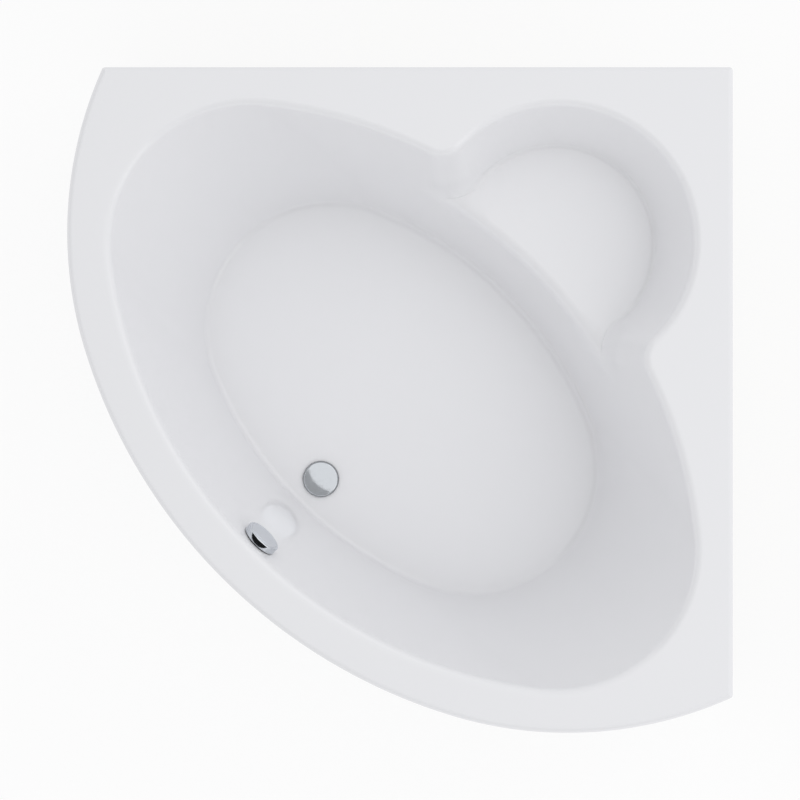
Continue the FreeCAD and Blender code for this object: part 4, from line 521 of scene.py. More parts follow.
def outline_half(inset, corner, z):
    """Outline of the rim from the middle of the bow to the wall corner, along the +X side."""
    points = []

    def add_arc(x, y, radius, first, last, steps, ends=0):
        for step in range(steps + ends):
            angle = first + (last - first) * step / steps
            points.append(Vector((x + radius * math.cos(angle), y + radius * math.sin(angle), z)) * MM)

    radius = BOW_FRONT_RADIUS - inset
    for step in range(20):
        angle = BOW_JOIN * step / 20
        points.append(across(radius * math.sin(angle), BOW_CENTRE - radius * math.cos(angle), z))
    radius = BOW_END_RADIUS - inset
    side = SIDE / 2 - inset - corner
    tip = BOW_END_Y - math.sqrt((radius - corner) ** 2 - (side - BOW_END_X) ** 2)
    turn = math.atan2(tip - BOW_END_Y, side - BOW_END_X)
    add_arc(BOW_END_X, BOW_END_Y, radius, BOW_JOIN - HALF_TURN * 3 / 4, turn, 36)
    add_arc(side, tip, corner, turn, 0.0, 8)
    for step in range(12):
        points.append(Vector((side + corner, tip + (side - tip) * step / 12, z)) * MM)
    add_arc(side, side, corner, 0.0, HALF_TURN / 4, 4, 1)
    return points


def whole(half):
    """A closed ring from half of one: the other half is its mirror image in the line of symmetry."""
    other = [Vector((p.y, p.x, p.z)) for p in half[1:-1]]
    return half + other[::-1]


# ---- Basin and seat, in mm

BOW_TIP_AWAY = (APEX - BOW_END_U - BOW_END_V) / math.sqrt(2)
BOW_TIP_U = BOW_END_U + (BOW_TIP_AWAY + math.sqrt(BOW_END_RADIUS**2 - BOW_TIP_AWAY**2)) / math.sqrt(2)
BASIN = {
    "front": BOW_FRONT + FRONT_LEDGE,
    "rear": APEX - 525.0,
    "half": BOW_TIP_U - 184.7,
    "front_radius": 1043.0,
    "rear_radius": 1019.0,
}
BASE = {
    "front": BASIN["front"] + FRONT_SLOPE,
    "rear": BASIN["rear"] - 134.0,
    "half": BASIN["half"] - 256.5,
    "front_radius": 844.0,
    "rear_radius": 816.0,
}
FRONT_STEPS = 36
END_STEPS = 48
REAR_STEPS = 14
SHOULDER_STEPS = 14
POCKET_STEPS = 28
REAR_FIRST = FRONT_STEPS + END_STEPS
SHOULDER_FIRST = REAR_FIRST + REAR_STEPS
POCKET_FIRST = SHOULDER_FIRST + SHOULDER_STEPS
HALF_STEPS = POCKET_FIRST + POCKET_STEPS
# Heights of the wall's rows above the seat's edge and below it.
UPPER_ROWS = (600, 590, 580, 570, 560, 550, 540, 530, 519, 507, 494, 480, 466, 452, 445)
LOWER_ROWS = (392, 380, 364, 346, 326, 306, 286, 268, 252, 240, 231)
SEAT_ROWS_TOP, SEAT_ROWS_BOTTOM = 438.0, 399.0
SLOPE_SPAN = 20              # heights this far apart give the slope of a wall
RIM_MARGIN = 1.5             # flat beyond a rounding, before a large face begins
FLOOR_MARGIN = 2.0


def basin_level(z):
    """The four tangent arcs of the basin at one height."""
    share = (RIM - z) / (RIM - FLOOR)
    at = {key: BASIN[key] + (BASE[key] - BASIN[key]) * share for key in BASIN}
    half, front_radius, rear_radius = at["half"], at["front_radius"], at["rear_radius"]
    front_centre = at["front"] + front_radius
    rear_centre = at["rear"] - rear_radius
    spread = front_centre - rear_centre
    offset = (front_centre**2 - rear_centre**2 - front_radius**2 + rear_radius**2) / (2 * spread)
    slope = (front_radius - rear_radius) / spread
    linear = 2 * slope * (offset - front_centre) - 2 * half + 2 * front_radius
    constant = half**2 + (offset - front_centre) ** 2 - front_radius**2
    end_radius = -2 * constant / (linear + math.sqrt(linear**2 - 4 * slope**2 * constant))
    end_u = half - end_radius
    end_v = offset + slope * end_radius
    at.update(front_centre=front_centre, rear_centre=rear_centre, end_radius=end_radius, end_u=end_u, end_v=end_v)
    at["front_angle"] = math.atan2(end_u, front_centre - end_v)
    at["rear_angle"] = math.atan2(end_u, end_v - rear_centre)
    return at


def pocket_radius(z):
    return POCKET_BASE_RADIUS + (z - SEAT) * (POCKET_TOP_RADIUS - POCKET_BASE_RADIUS) / (RIM - SEAT)


def shoulder_circle(at, z, rounding):
    """Centre of the rounding that touches the basin's rear arc and the seat's pocket."""
    apart = SEAT_V - at["rear_centre"]
    reach = at["rear_radius"] + rounding
    other = pocket_radius(z) + rounding
    v = (reach**2 - other**2 + apart**2) / (2 * apart)
    return math.sqrt(reach**2 - v**2), v + at["rear_centre"]


def wall_point(number, z, rounding, with_seat):
    """Place and outward direction of one point of the basin's contour at a height."""
    at = basin_level(z)
    if number <= FRONT_STEPS:
        # The points stand closer together at the front's middle, where the overflow is.
        share = number / FRONT_STEPS
        angle = at["front_angle"] * (0.5 * share + 0.5 * share * share)
        out_u, out_v = math.sin(angle), -math.cos(angle)
        return at["front_radius"] * out_u, at["front_centre"] + at["front_radius"] * out_v, out_u, out_v
    if number <= REAR_FIRST:
        first = at["front_angle"] - HALF_TURN / 2
        last = HALF_TURN / 2 - at["rear_angle"]
        angle = first + (last - first) * ((number - FRONT_STEPS) / END_STEPS)
        out_u, out_v = math.cos(angle), math.sin(angle)
        return at["end_u"] + at["end_radius"] * out_u, at["end_v"] + at["end_radius"] * out_v, out_u, out_v
    level = max(z, SEAT)
    above = basin_level(level)
    centre_u, centre_v = shoulder_circle(above, level, rounding)
    far_reach = pocket_radius(level) / (pocket_radius(level) + rounding)
    far_u = centre_u * far_reach
    far_v = SEAT_V + (centre_v - SEAT_V) * far_reach
    if not with_seat or number <= SHOULDER_FIRST:
        near = math.atan2(centre_u, centre_v - above["rear_centre"]) / above["rear_angle"]
        far = math.asin(far_u / above["rear_radius"]) / above["rear_angle"]
        if number <= SHOULDER_FIRST:
            share = 1 + (near - 1) * (number - REAR_FIRST) / REAR_STEPS
        elif number <= POCKET_FIRST:
            share = near + (far - near) * (number - SHOULDER_FIRST) / SHOULDER_STEPS
        else:
            share = far * (1 - (number - POCKET_FIRST) / POCKET_STEPS)
        out_u, out_v = math.sin(at["rear_angle"] * share), math.cos(at["rear_angle"] * share)
        return at["rear_radius"] * out_u, at["rear_centre"] + at["rear_radius"] * out_v, out_u, out_v
    if number <= POCKET_FIRST:
        first = math.atan2(above["rear_centre"] - centre_v, -centre_u) % (2 * HALF_TURN)
        last = math.atan2(SEAT_V - centre_v, -centre_u) % (2 * HALF_TURN)
        angle = first + (last - first) * ((number - SHOULDER_FIRST) / SHOULDER_STEPS)
        in_u, in_v = math.cos(angle), math.sin(angle)
        return centre_u + rounding * in_u, centre_v + rounding * in_v, -in_u, -in_v
    angle = math.atan2(far_u, far_v - SEAT_V) * (1 - (number - POCKET_FIRST) / POCKET_STEPS)
    out_u, out_v = math.sin(angle), math.cos(angle)
    return pocket_radius(z) * out_u, SEAT_V + pocket_radius(z) * out_v, out_u, out_v


def contour_half(z, rounding, with_seat):
    """Places and outward directions of half of the contour at one height."""
    found = []
    for number in range(HALF_STEPS + 1):
        u, v, out_u, out_v = wall_point(number, z, rounding, with_seat)
        found.append((across(u, v, z), across(out_u, out_v, 0).normalized()))
    return found


def wall_row(z, rounding, with_seat):
    return [place for place, _ in contour_half(z, rounding, with_seat)]


def rounded_rows(z, z_away, radius, steps, rounding, with_seat):
    """Rows of an arc between the wall and the level of the rim, or the level of the floor."""
    rows = [[] for _ in range(steps + 1)]
    for (place, out), other in zip(contour_half(z, rounding, with_seat), wall_row(z_away, rounding, with_seat)):
        slope = (other - place).normalized()
        ways = (-out, slope) if z > z_away else (-slope, -out)
        for row, point in zip(rows, corner_arc(place, *ways, radius, steps)):
            row.append(point)
    return rows


def moved_out(row, z, reach, rounding, with_seat):
    """A row moved along the outward directions of the contour at a height."""
    return [place + out * reach * MM for place, (_, out) in zip(row, contour_half(z, rounding, with_seat))]


def seat_rows(sizes, shoulder):
    """Rows that cross the seat behind the basin, and go down the wall everywhere else."""
    back_steps, flat_steps, edge_steps = 7, 10, 9
    total = back_steps + flat_steps + edge_steps
    seat_line = contour_half(SEAT, shoulder, True)
    above = wall_row(SEAT + SLOPE_SPAN, shoulder, True)
    edge_line = contour_half(SEAT, shoulder, False)
    below = wall_row(SEAT - SLOPE_SPAN, shoulder, False)
    rows = []
    for row in range(total + 1):
        z = SEAT_ROWS_TOP + (SEAT_ROWS_BOTTOM - SEAT_ROWS_TOP) * row / total
        rows.append(wall_row(z, shoulder, z > SEAT))
    for number in range(SHOULDER_FIRST, HALF_STEPS + 1):
        place, out = seat_line[number]
        down = (place - above[number]).normalized()
        front_place, front_out = edge_line[number]
        front_down = (below[number] - front_place).normalized()
        back_reach = sizes.seat_rounding * math.tan(down.angle(-out) / 2)
        edge_reach = sizes.seat_edge * math.tan(front_down.angle(-front_out) / 2)
        # Beside the shoulders the seat is narrower than its two roundings, so both are made smaller.
        room = (front_place - place).length
        share = max(0.03, min(1.0, 0.9 * room / (back_reach + edge_reach)))
        back = corner_arc(place, down, -out, sizes.seat_rounding * share, back_steps)
        edge = corner_arc(front_place, -front_out, front_down, sizes.seat_edge * share, edge_steps)
        flat = [back[-1] + (edge[0] - back[-1]) * step / flat_steps for step in range(1, flat_steps)]
        share = min(1.0, (number - SHOULDER_FIRST) / SHOULDER_STEPS)
        share = share * share * (3 - 2 * share)
        for row, point in zip(rows, back + flat + edge):
            row[number] = row[number].lerp(point, share)
    return rows


class BATH_OT_shell(bpy.types.Operator):
    """Models the moulded shell: rim, lip, basin and corner seat"""

    bl_idname = "bath.shell"
    bl_label = "Moulded Shell"

    def execute(self, context):
        sizes = context.scene.bath_shell
        shoulder = sizes.shoulder / MM
        top = rounded_rows(RIM, RIM - SLOPE_SPAN, sizes.rim_rounding, 9, shoulder, True)
        bottom = rounded_rows(FLOOR, FLOOR + SLOPE_SPAN, sizes.floor_rounding, 10, shoulder, False)
        rows = [moved_out(top[0], RIM, RIM_MARGIN, shoulder, True), *top]
        rows.extend(wall_row(z, shoulder, True) for z in UPPER_ROWS)
        rows.extend(seat_rows(sizes, shoulder))
        rows.extend(wall_row(z, shoulder, False) for z in LOWER_ROWS)
        rows.extend(bottom)
        rows.append(moved_out(bottom[-1], FLOOR, -FLOOR_MARGIN, shoulder, False))
        piece = skin([whole(row) for row in rows])
        self.fit_seat(piece, shoulder)
        self.open_overflow(piece)
        self.add_hole(piece)
        self.add_lip(piece, sizes)
        self.face_up(piece)
        bpy.ops.mesh.remove_doubles(threshold=MERGE)
        bpy.ops.object.mode_set(mode="OBJECT")
        coat(piece, "acrylic", "backing")
        apply_modifier(
            piece, "SOLIDIFY", thickness=sizes.wall, offset=-1.0, use_quality_normals=True, material_offset=1,
        )
        finished(piece, "moulded_shell", "tub", "tub_shell")
        return {"FINISHED"}

    def fit_seat(self, piece, shoulder):
        """Evens out the two corners where the seat runs out beside the shoulders."""
        zone, fade = 80.0, 40.0
        bpy.ops.object.mode_set(mode="OBJECT")
        corner = contour_half(SEAT, shoulder, True)[SHOULDER_FIRST + SHOULDER_STEPS // 2][0]
        other = Vector((corner.y, corner.x, corner.z))
        group = piece.vertex_groups.new(name="seat_corners")
        for vertex in piece.data.vertices:
            apart = min((vertex.co - corner).length, (vertex.co - other).length) / MM
            if apart < zone:
                group.add([vertex.index], min(1.0, (zone - apart) / fade), "REPLACE")
        apply_modifier(piece, "SMOOTH", factor=0.5, iterations=90, vertex_group="seat_corners")
        piece.vertex_groups.clear()
        take_up(piece)
        bpy.ops.object.mode_set(mode="EDIT")

    def open_overflow(self, piece):
        """Opens the round hole behind the overflow, and draws the faces round it onto its edge."""
        radius, cut_margin, draw_margin = 28.0, 4.0, 14.0

        def reach(place):
            u = (place.x - place.y) / math.sqrt(2) / MM
            down = (OVERFLOW_Z - place.z / MM) / math.cos(LEAN)
            return u, down, math.hypot(u, down)

        def on_front(place):
            return place.x + place.y < 0

        def over_hole(face):
            within = all(reach(v.co)[2] < radius + cut_margin for v in face.verts)
            return within and on_front(face.calc_center_median())

        select_where(piece, over_hole, "FACE")
        bpy.ops.mesh.delete(type="FACE")
        shape = bmesh.from_edit_mesh(piece.data)
        for vertex in shape.verts:
            u, down, away = reach(vertex.co)
            if vertex.is_boundary and on_front(vertex.co) and away < radius + draw_margin:
                u, down = u * radius / away, down * radius / away
                z = OVERFLOW_Z - down * math.cos(LEAN)
                at = basin_level(z)
                v = at["front_centre"] - math.sqrt(at["front_radius"] ** 2 - u**2)
                vertex.co = across(u, v, z)
        bmesh.update_edit_mesh(piece.data)

    def add_hole(self, piece):
        """Fills the floor between its rounding and the ring round the waste."""
        outer, inner, steps = 29.0, 27.0, 64
        angles = [2 * HALF_TURN * step / steps for step in range(steps)]
        rings = []
        for radius in (outer, inner):
            rings.append([across(radius * math.cos(a), DRAIN_V + radius * math.sin(a), FLOOR) for a in angles])
        join_to(piece, skin(rings))
        drain = across(0, DRAIN_V, FLOOR)

        def floor_edge(edge):
            middle = (edge.verts[0].co + edge.verts[1].co) / 2
            outside = (middle - drain).length / MM > (outer + inner) / 2
            return edge.is_boundary and abs(middle.z - FLOOR * MM) < ON_LEVEL and outside

        fill_edges(piece, floor_edge)

    def add_lip(self, piece, sizes):
        """Adds the outside edge of the rim, and fills the flat of the rim."""
        rounding = sizes.lip_rounding / MM
        bottom = RIM - sizes.lip_drop / MM
        shapes = [(0.0, bottom), (0.0, bottom + RIM_MARGIN), (0.0, RIM - rounding - RIM_MARGIN)]
        for step in range(7):
            angle = HALF_TURN / 2 * step / 6
            shapes.append((rounding * (1 - math.cos(angle)), RIM - rounding + rounding * math.sin(angle)))
        shapes.append((rounding + RIM_MARGIN, RIM))
        corner, least = 8.0, 0.6
        join_to(piece, skin([whole(outline_half(inset, max(corner - inset, least), z)) for inset, z in shapes]))

        def rim_edge(edge):
            return edge.is_boundary and all(abs(v.co.z - RIM * MM) < ON_LEVEL for v in edge.verts)

        fill_edges(piece, rim_edge)

    def face_up(self, piece):
        """Recalculates the normals, and turns them round if the large faces of the rim point down."""
        bpy.ops.mesh.select_all(action="SELECT")
        bpy.ops.mesh.normals_make_consistent(inside=False)
        wrong = 0
        for face in bmesh.from_edit_mesh(piece.data).faces:
            if abs(face.calc_center_median().z - RIM * MM) < MERGE and face.calc_area() > 1e-4:
                wrong += 1 if face.normal.z < 0 else -1
        if wrong > 0:
            bpy.ops.mesh.flip_normals()


# ---- Front panel, in mm


class BATH_OT_front_panel(bpy.types.Operator):
    """Models the bowed front panel with its turned-in top and recessed plinth"""

    bl_idname = "bath.front_panel"
    bl_label = "Front Panel"

    def execute(self, context):
        thick = context.scene.bath_fittings.panel_thickness / MM
        face, plinth, flange = 3.0, 11.0, 14.0
        top, ledge, foot = 577.0, 70.0, 10.0
        # Section of the sheet as insets from the bow and heights, round its outside and back.
        outline = [
            (face + thick + flange, top), (face + 2.0, top), (face + 0.6, top - 0.6), (face, top - 2.0),
            (face, top - 6.0), (face, ledge + 6.0), (face, ledge + 2.0), (face + 0.6, ledge + 0.6),
            (face + 2.0, ledge), (plinth - 1.0, ledge), (plinth, ledge - 1.0), (plinth, ledge - 5.0),
            (plinth, foot), (plinth + thick, foot), (plinth + thick, ledge + thick - 1.0),
            (plinth + thick - 1.0, ledge + thick), (face + thick, ledge + thick), (face + thick, top - thick),
            (face + thick + flange, top - thick),
        ]
        # The ends run past the walls by a few degrees, and are then cut off square.
        tip = math.radians(56)
        points = []
        for inset, z in outline:
            radius = BOW_END_RADIUS - inset
            angle = BOW_JOIN + tip
            points.append(across(-BOW_END_U - radius * math.sin(angle), BOW_END_V - radius * math.cos(angle), z))
        piece = new_loop(points)
        # The spin operator turns clockwise seen along its axis, so the axis points down.
        for centre, angle, steps in (
            (across(-BOW_END_U, BOW_END_V, 0), tip, 40),
            (across(0, BOW_CENTRE, 0), 2 * BOW_JOIN, 44),
            (across(BOW_END_U, BOW_END_V, 0), tip, 40),
        ):
            bpy.ops.mesh.spin(steps=steps, angle=angle, center=centre, axis=(0.0, 0.0, -1.0))
        for normal in (Vector((1.0, 0.0, 0.0)), Vector((0.0, 1.0, 0.0))):
            bpy.ops.mesh.select_all(action="SELECT")
            bpy.ops.mesh.bisect(
                plane_co=normal * ((SIDE / 2 - face) * MM), plane_no=normal, use_fill=True, clear_outer=True,
            )
        close_up()
        coat(piece, "acrylic")
        finished(piece, "bowed_panel", "panel", "front_panel", 50)
        return {"FINISHED"}


# ---- Waste and overflow, in mm


def lathe(profile, axis_place, axis, start):
    """Turns a profile of (radius, height) pairs about an axis, and closes it."""
    axis = axis.normalized()
    start = (start - axis * start.dot(axis)).normalized()
    points = [axis_place + start * r * MM + axis * h * MM for r, h in profile]
    piece = new_loop(points, closed=False)
    bpy.ops.mesh.spin(steps=96, angle=2 * HALF_TURN, center=axis_place, axis=axis)
    close_up(2 * MERGE)
    coat(piece, "chrome")
    return piece


def edge_arc(radius, top, rounding, first, steps):
    """Points of a profile's rounded upper edge, from an angle in degrees down to its side."""
    points = []
    for step in range(steps + 1):
        angle = math.radians(first - first * step / steps)
        points.append((radius - rounding + rounding * math.cos(angle), top - rounding + rounding * math.sin(angle)))
    return points


class BATH_OT_waste(bpy.types.Operator):
    """Models the pop-up cap of the waste"""

    bl_idname = "bath.waste"
    bl_label = "Waste Cap"

    def execute(self, context):
        sizes = context.scene.bath_fittings
        dome = sizes.cap_dome / MM
        edge = sizes.cap_rounding / MM
        top, under, radius = 210.6, 205.6, 37.0
        profile = [(0.0, top)]
        for step in range(1, 13):
            r = (radius - edge) * step / 12
            profile.append((r, top - dome * (r / radius) ** 2))
        profile.extend(edge_arc(radius, profile[-1][1], edge, 84, 7))
        profile.extend([
            (radius, under + 0.4), (radius - 0.4, under), (radius - 3.0, under), (24.0, under), (0.0, under),
        ])
        cap = lathe(profile, across(0, DRAIN_V, 0), Vector((0, 0, 1)), Vector((1, 0, 0)))
        finished(cap, "pop_up_cap", "plug", "plug_cap")
        return {"FINISHED"}


class BATH_OT_overflow(bpy.types.Operator):
    """Models the turning knob of the overflow, with its grooved face and skirt"""

    bl_idname = "bath.overflow"
    bl_label = "Overflow Knob"

    def execute(self, context):
        sizes = context.scene.bath_fittings
        centre = across(0, BASIN["front"] + OVERFLOW_DROP * math.tan(LEAN), OVERFLOW_Z)
        out = across(0, math.cos(LEAN), math.sin(LEAN))
        groove = sizes.knob_groove / MM
        face, radius, skirt = 18.0, 40.0, 3.0
        profile = [
            (0.0, face - 0.9), (12.0, face - 0.85), (24.0, face - 0.6), (31.0, face - 0.2), (32.6, face),
            (33.2, face), (33.5, face - groove), (34.3, face - groove), (34.6, face),
        ]
        profile.extend(edge_arc(radius, face, sizes.knob_rounding / MM, 90, 8))
        profile.extend([
            (radius, skirt + 0.8), (radius - 0.8, skirt), (radius - 1.7, skirt), (radius - 2.5, skirt + 0.8),
            (radius - 2.5, face - 3.5), (radius - 3.5, face - 2.5), (9.0, face - 2.5), (9.0, 5.3), (0.0, 5.3),
        ])
        knob = lathe(profile, centre, out, Vector((0, 0, 1)))
        finished(knob, "turning_knob", "knob", "overflow_knob")
        return {"FINISHED"}


# ---- Hose and cable

# Control points across the tub, along its line of symmetry and up, in mm.
HOSE_ROUTE = [
    (0.0, -457.138, 511.407), (0.0, -367.884, 209.095), (0.0, -344.5, 175.4), (0.0, -305.544, 162.5),
    (0.0, -279.544, 162.5),
]
CABLE_ROUTE = [
    (25.0, -454.306, 501.817), (25.0, -420.327, 386.728), (56.5, -387.88, 274.1), (136.0, -332.24, 185.2),
    (128.0, -247.24, 151.2), (46.5, -247.24, 151.2),
]
# Distances from the hose's end and radii, in mm.
CUFF = ((0.0, 13.4), (0.0, 16.0), (0.6, 16.5), (12.0, 16.5), (24.4, 16.5), (25.2, 16.1))
# Shares of a rib's length, and radii in mm.
RIB = (
    (0.06, 15.0), (0.16, 15.0), (0.24, 15.9), (0.30, 17.1), (0.37, 17.5),
    (0.55, 17.5), (0.62, 17.1), (0.68, 15.9), (0.76, 15.0), (0.94, 15.0),
)


def smooth_line(name, route):
    """A smooth curve with the route's points as its control points."""
    line = bpy.data.curves.new(name, "CURVE")
    line.dimensions = "3D"
    spline = line.splines.new("NURBS")
    spline.points.add(len(route) - 1)
    for point, (u, v, z) in zip(spline.points, route):
        point.co = (*across(u, v, z), 1.0)
    spline.order_u = 3
    spline.use_endpoint_u = True
    line.resolution_u = 24
    made = bpy.data.objects.new(name, line)
    bpy.context.scene.collection.objects.link(made)
    return made


def points_along(line):
    """The places that a smooth curve passes through."""
    bpy.context.view_layer.update()
    evaluated = line.evaluated_get(bpy.context.evaluated_depsgraph_get())
    mesh = bpy.data.meshes.new_from_object(evaluated)
    places = [v.co.copy() for v in mesh.vertices]
    bpy.data.meshes.remove(mesh)
    return places


def length_of(places):
    return sum((b - a).length for a, b in zip(places, places[1:]))


def walk(places, distance):
    """Place and direction at a distance along the places, carried on straight past their ends."""
    for first, second in zip(places, places[1:]):
        step = second - first
        if distance <= step.length or second is places[-1]:
            return first + step.normalized() * distance, step.normalized()
        distance = distance - step.length


class BATH_OT_hose(bpy.types.Operator):
    """Models the ribbed overflow hose along its smooth line"""

    bl_idname = "bath.hose"
    bl_label = "Ribbed Hose"

    def execute(self, context):
        line = smooth_line("hose_line", HOSE_ROUTE)
        places = points_along(line)
        length = length_of(places)
        cuff, pitch_wanted = 26.0 * MM, 12.0 * MM
        count = int((length - 2 * cuff) / pitch_wanted)
        pitch = (length - 2 * cuff) / count
        bore, inner_rings, steps = 13.0, 30, 40
        sections = [(d * MM, r) for d, r in CUFF]
        for rib in range(count):
            start = cuff + rib * pitch
            sections.extend((start + share * pitch, r) for share, r in RIB)
        sections.extend((length - d * MM, r) for d, r in reversed(CUFF))
        # Back through the inside to the first section, which closes the skin.
        sections.extend((length * ring / (inner_rings + 1), bore) for ring in range(inner_rings, 0, -1))
        sections.append(sections[0])
        side = across(1, 0, 0).normalized()
        rows = []
        for distance, radius in sections:
            place, direction = walk(places, distance)
            upright = direction.cross(side).normalized()
            row = []
            for step in range(steps):
                angle = 2 * HALF_TURN * step / steps
                row.append(place + (side * math.cos(angle) + upright * math.sin(angle)) * radius * MM)
            rows.append(row)
        piece = skin(rows)
        close_up()
        coat(piece, "hose_plastic")
        bpy.data.objects.remove(line)
        finished(piece, "ribbed_hose", "tub", "overflow_hose", 60)
        return {"FINISHED"}


class BATH_OT_cable(bpy.types.Operator):
    """Models the sheathed pull cable from the overflow to the waste"""

    bl_idname = "bath.cable"
    bl_label = "Pull Cable"

    def execute(self, context):
        piece = smooth_line("sheathed_cable", CABLE_ROUTE)
        places = points_along(piece)
        piece.data.bevel_depth = 3.0 * MM
        piece.data.bevel_resolution = 6
        piece.data.use_fill_caps = True
        coat(piece, "cable_sheath")
        placed(piece, "sheathed_cable", "tub", "pull_cable")
        return {"FINISHED"}


# ---- Finishes of the pieces that come with the frame


class BATH_OT_finishes(bpy.types.Operator):
    """Gives every piece that comes with the frame its finish"""

    bl_idname = "bath.finishes"
    bl_label = "Finishes"

    def execute(self, context):
        slots = {part["node"]: part["material_slot"] for part in frame["record"]["subparts"]}
        # The waste's flange takes the darkened chrome, whose dark colour is painted shade.
        special = {"wall_batten_right": "batten_y", "wall_batten_rear": "batten_x", "waste_flange": "painted_shade_chrome"}
        for name, node in frame["nodes"].items():
            finish = "chipboard" if slots[name] == "timber" else slots[name]
            coat(node, special.get(name, finish))
            node.select_set(False)
        return {"FINISHED"}


# ---- Stage

WHITE = (1.0, 1.0, 1.0, 1.0)


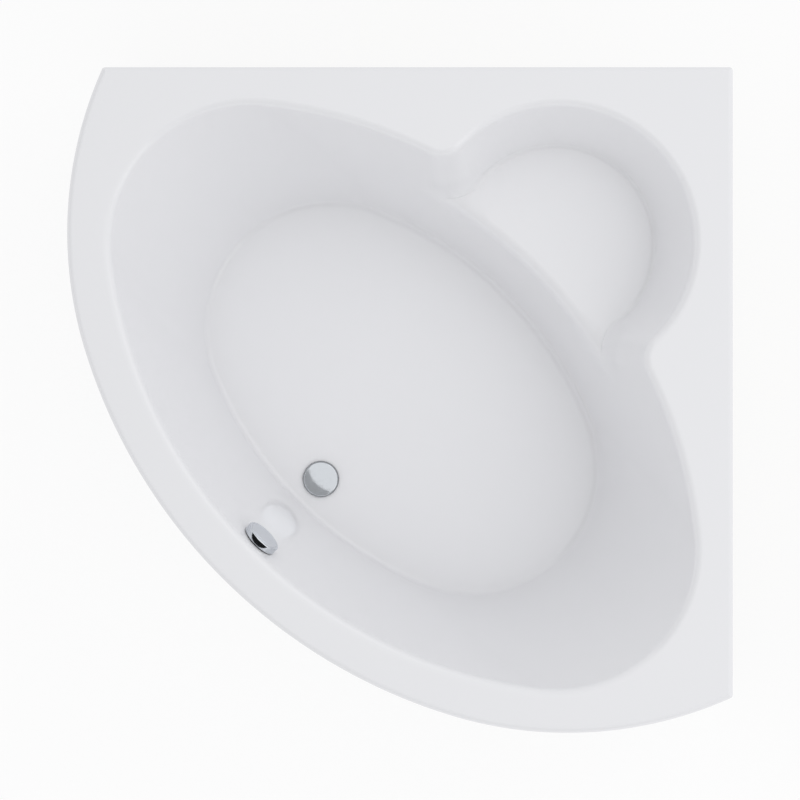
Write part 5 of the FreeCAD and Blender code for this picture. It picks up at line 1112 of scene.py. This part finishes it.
class BATH_OT_stage(bpy.types.Operator):
    """Lays the floor and sets the lamps and the camera of the photograph"""

    bl_idname = "bath.stage"
    bl_label = "Stage"

    def execute(self, context):
        settings = context.scene.bath_stage
        clear_selection()
        bpy.ops.mesh.primitive_plane_add(size=40.0, location=(0, 0, 0))
        floor = bpy.context.object
        floor.name = "studio_floor"
        floor.data.materials.append(self.floor_finish())
        self.dark_ceiling()
        self.light_room(settings.room_light)
        self.hang_lamp("key", (3.4, 3.0, 4.6), settings.key_power)
        self.hang_lamp("fill", (3.4, -3.0, 4.6), settings.fill_power)
        camera_data = bpy.data.cameras.new("camera")
        camera_data.sensor_width = 36.0
        camera_data.lens = settings.lens
        camera_data.clip_end = 100.0
        camera = bpy.data.objects.new("camera", camera_data)
        context.scene.collection.objects.link(camera)
        camera.location = (0.0, 0.0, settings.camera_height)
        context.scene.camera = camera
        context.scene.view_settings.view_transform = "Standard"
        return {"FINISHED"}

    def light_room(self, strength):
        """Even light from all round, which looks plain white wherever it is seen directly."""
        world = bpy.data.worlds.new("Studio")
        bpy.context.scene.world = world
        world.use_nodes = True
        tree = world.node_tree
        tree.nodes.clear()
        plain = add_node(tree, "Background", {"Color": WHITE, "Strength": 1.0})
        light = add_node(tree, "Background", {"Color": (0.985, 0.99, 1.0, 1.0), "Strength": strength})
        mixed = add_node(tree, "MixShader", {0: self.seen_directly(tree), 1: light, 2: plain})
        add_node(tree, "OutputWorld", {"Surface": mixed})

    def hang_lamp(self, name, place, power):
        """Large square lamp that faces the tub."""
        lamp = bpy.data.lights.new(name, "AREA")
        lamp.shape = "SQUARE"
        lamp.size = 4.0
        lamp.energy = power
        hung = bpy.data.objects.new(name, lamp)
        bpy.context.scene.collection.objects.link(hung)
        hung.location = place
        hung.rotation_euler = (Vector((0, 0, 0.3)) - hung.location).to_track_quat("-Z", "Y").to_euler()

    def dark_ceiling(self):
        """Black cloth over the front half of the studio, which bright metal shows as a dark edge."""
        height = 9.5
        clear_selection()
        bpy.ops.mesh.primitive_circle_add(vertices=96, radius=2.67, fill_type="NOTHING", location=(1.12, 1.12, height))
        ceiling = bpy.context.object
        ceiling.name = "studio_ceiling"
        bpy.ops.object.mode_set(mode="EDIT")
        bpy.ops.mesh.select_all(action="SELECT")
        bpy.ops.mesh.extrude_edges_move()
        bpy.ops.transform.resize(value=(10.0, 10.0, 1.0))
        bpy.ops.mesh.select_all(action="SELECT")
        bpy.ops.mesh.bisect(plane_co=(0, 0, height), plane_no=(1, 1, 0), clear_outer=True)
        bpy.ops.object.mode_set(mode="OBJECT")
        black, tree, place = new_finish("Matt black studio cloth")
        away = add_node(tree, "VectorMath", {0: place}, operation="LENGTH")
        shade = add_node(tree, "MapRange", {
            "Value": away.outputs["Value"], "From Min": 3.8, "From Max": 6.5, "To Min": 0.58, "To Max": 0.02})
        ceiling.data.materials.append(surfaced(black, {"Color": shade}, "BsdfDiffuse"))
        ceiling.visible_camera = False
        ceiling.visible_diffuse = False
        ceiling.visible_shadow = False
        return ceiling

    def seen_directly(self, tree):
        """1 for what the camera sees straight, in a mirror or through glass."""
        rays = add_node(tree, "LightPath").outputs
        seen = rays["Is Camera Ray"]
        for kind in ("Is Glossy Ray", "Is Transmission Ray"):
            seen = add_node(tree, "Math", {0: seen, 1: rays[kind]}, operation="MAXIMUM")
        return seen

    def floor_finish(self):
        """Matt white board that keeps a soft shadow."""
        made, tree = new_material("Matt white studio board")
        seen = self.seen_directly(tree)
        share = add_node(tree, "Math", {0: seen, 1: 0.88}, operation="MULTIPLY")
        board = add_node(tree, "BsdfDiffuse", {"Color": (0.95, 0.95, 0.95, 1.0)})
        glow = add_node(tree, "Emission", {"Color": WHITE, "Strength": 1.0})
        return surfaced(made, {0: share, 1: board, 2: glow}, "MixShader")


# ---- Panel and registration

STEPS = (
    BATH_OT_finishes,
    BATH_OT_shell,
    BATH_OT_front_panel,
    BATH_OT_waste,
    BATH_OT_overflow,
    BATH_OT_hose,
    BATH_OT_cable,
    BATH_OT_stage,
)


class BATH_PT_build(bpy.types.Panel):
    """Lists the steps that build the bathtub"""

    bl_idname = "BATH_PT_build"
    bl_label = "Corner Bathtub"
    bl_space_type = "VIEW_3D"
    bl_region_type = "UI"
    bl_category = "Bathtub"

    def draw(self, context):
        for step in STEPS:
            self.layout.operator(step.bl_idname)
        scene = context.scene
        for group in (scene.bath_shell, scene.bath_fittings, scene.bath_colours, scene.bath_stage):
            box = self.layout.box()
            for name in group.bl_rna.properties.keys():
                if name not in ("rna_type", "name"):
                    box.prop(group, name)


GROUPS = {
    "bath_shell": BathShellSizes,
    "bath_fittings": BathFittingSizes,
    "bath_colours": BathColours,
    "bath_stage": BathStage,
}


def register():
    for name, group in GROUPS.items():
        bpy.utils.register_class(group)
        setattr(bpy.types.Scene, name, bpy.props.PointerProperty(type=group))
    for step in STEPS:
        bpy.utils.register_class(step)
    bpy.utils.register_class(BATH_PT_build)


def unregister():
    bpy.utils.unregister_class(BATH_PT_build)
    for step in reversed(STEPS):
        bpy.utils.unregister_class(step)
    for name, group in reversed(GROUPS.items()):
        delattr(bpy.types.Scene, name)
        bpy.utils.unregister_class(group)


def main():
    register()
    bpy.ops.bath.finishes()
    bpy.ops.bath.shell()
    bpy.ops.bath.front_panel()
    bpy.ops.bath.waste()
    bpy.ops.bath.overflow()
    bpy.ops.bath.hose()
    bpy.ops.bath.cable()
    bpy.ops.bath.stage()


if __name__ == "__main__":
    main()
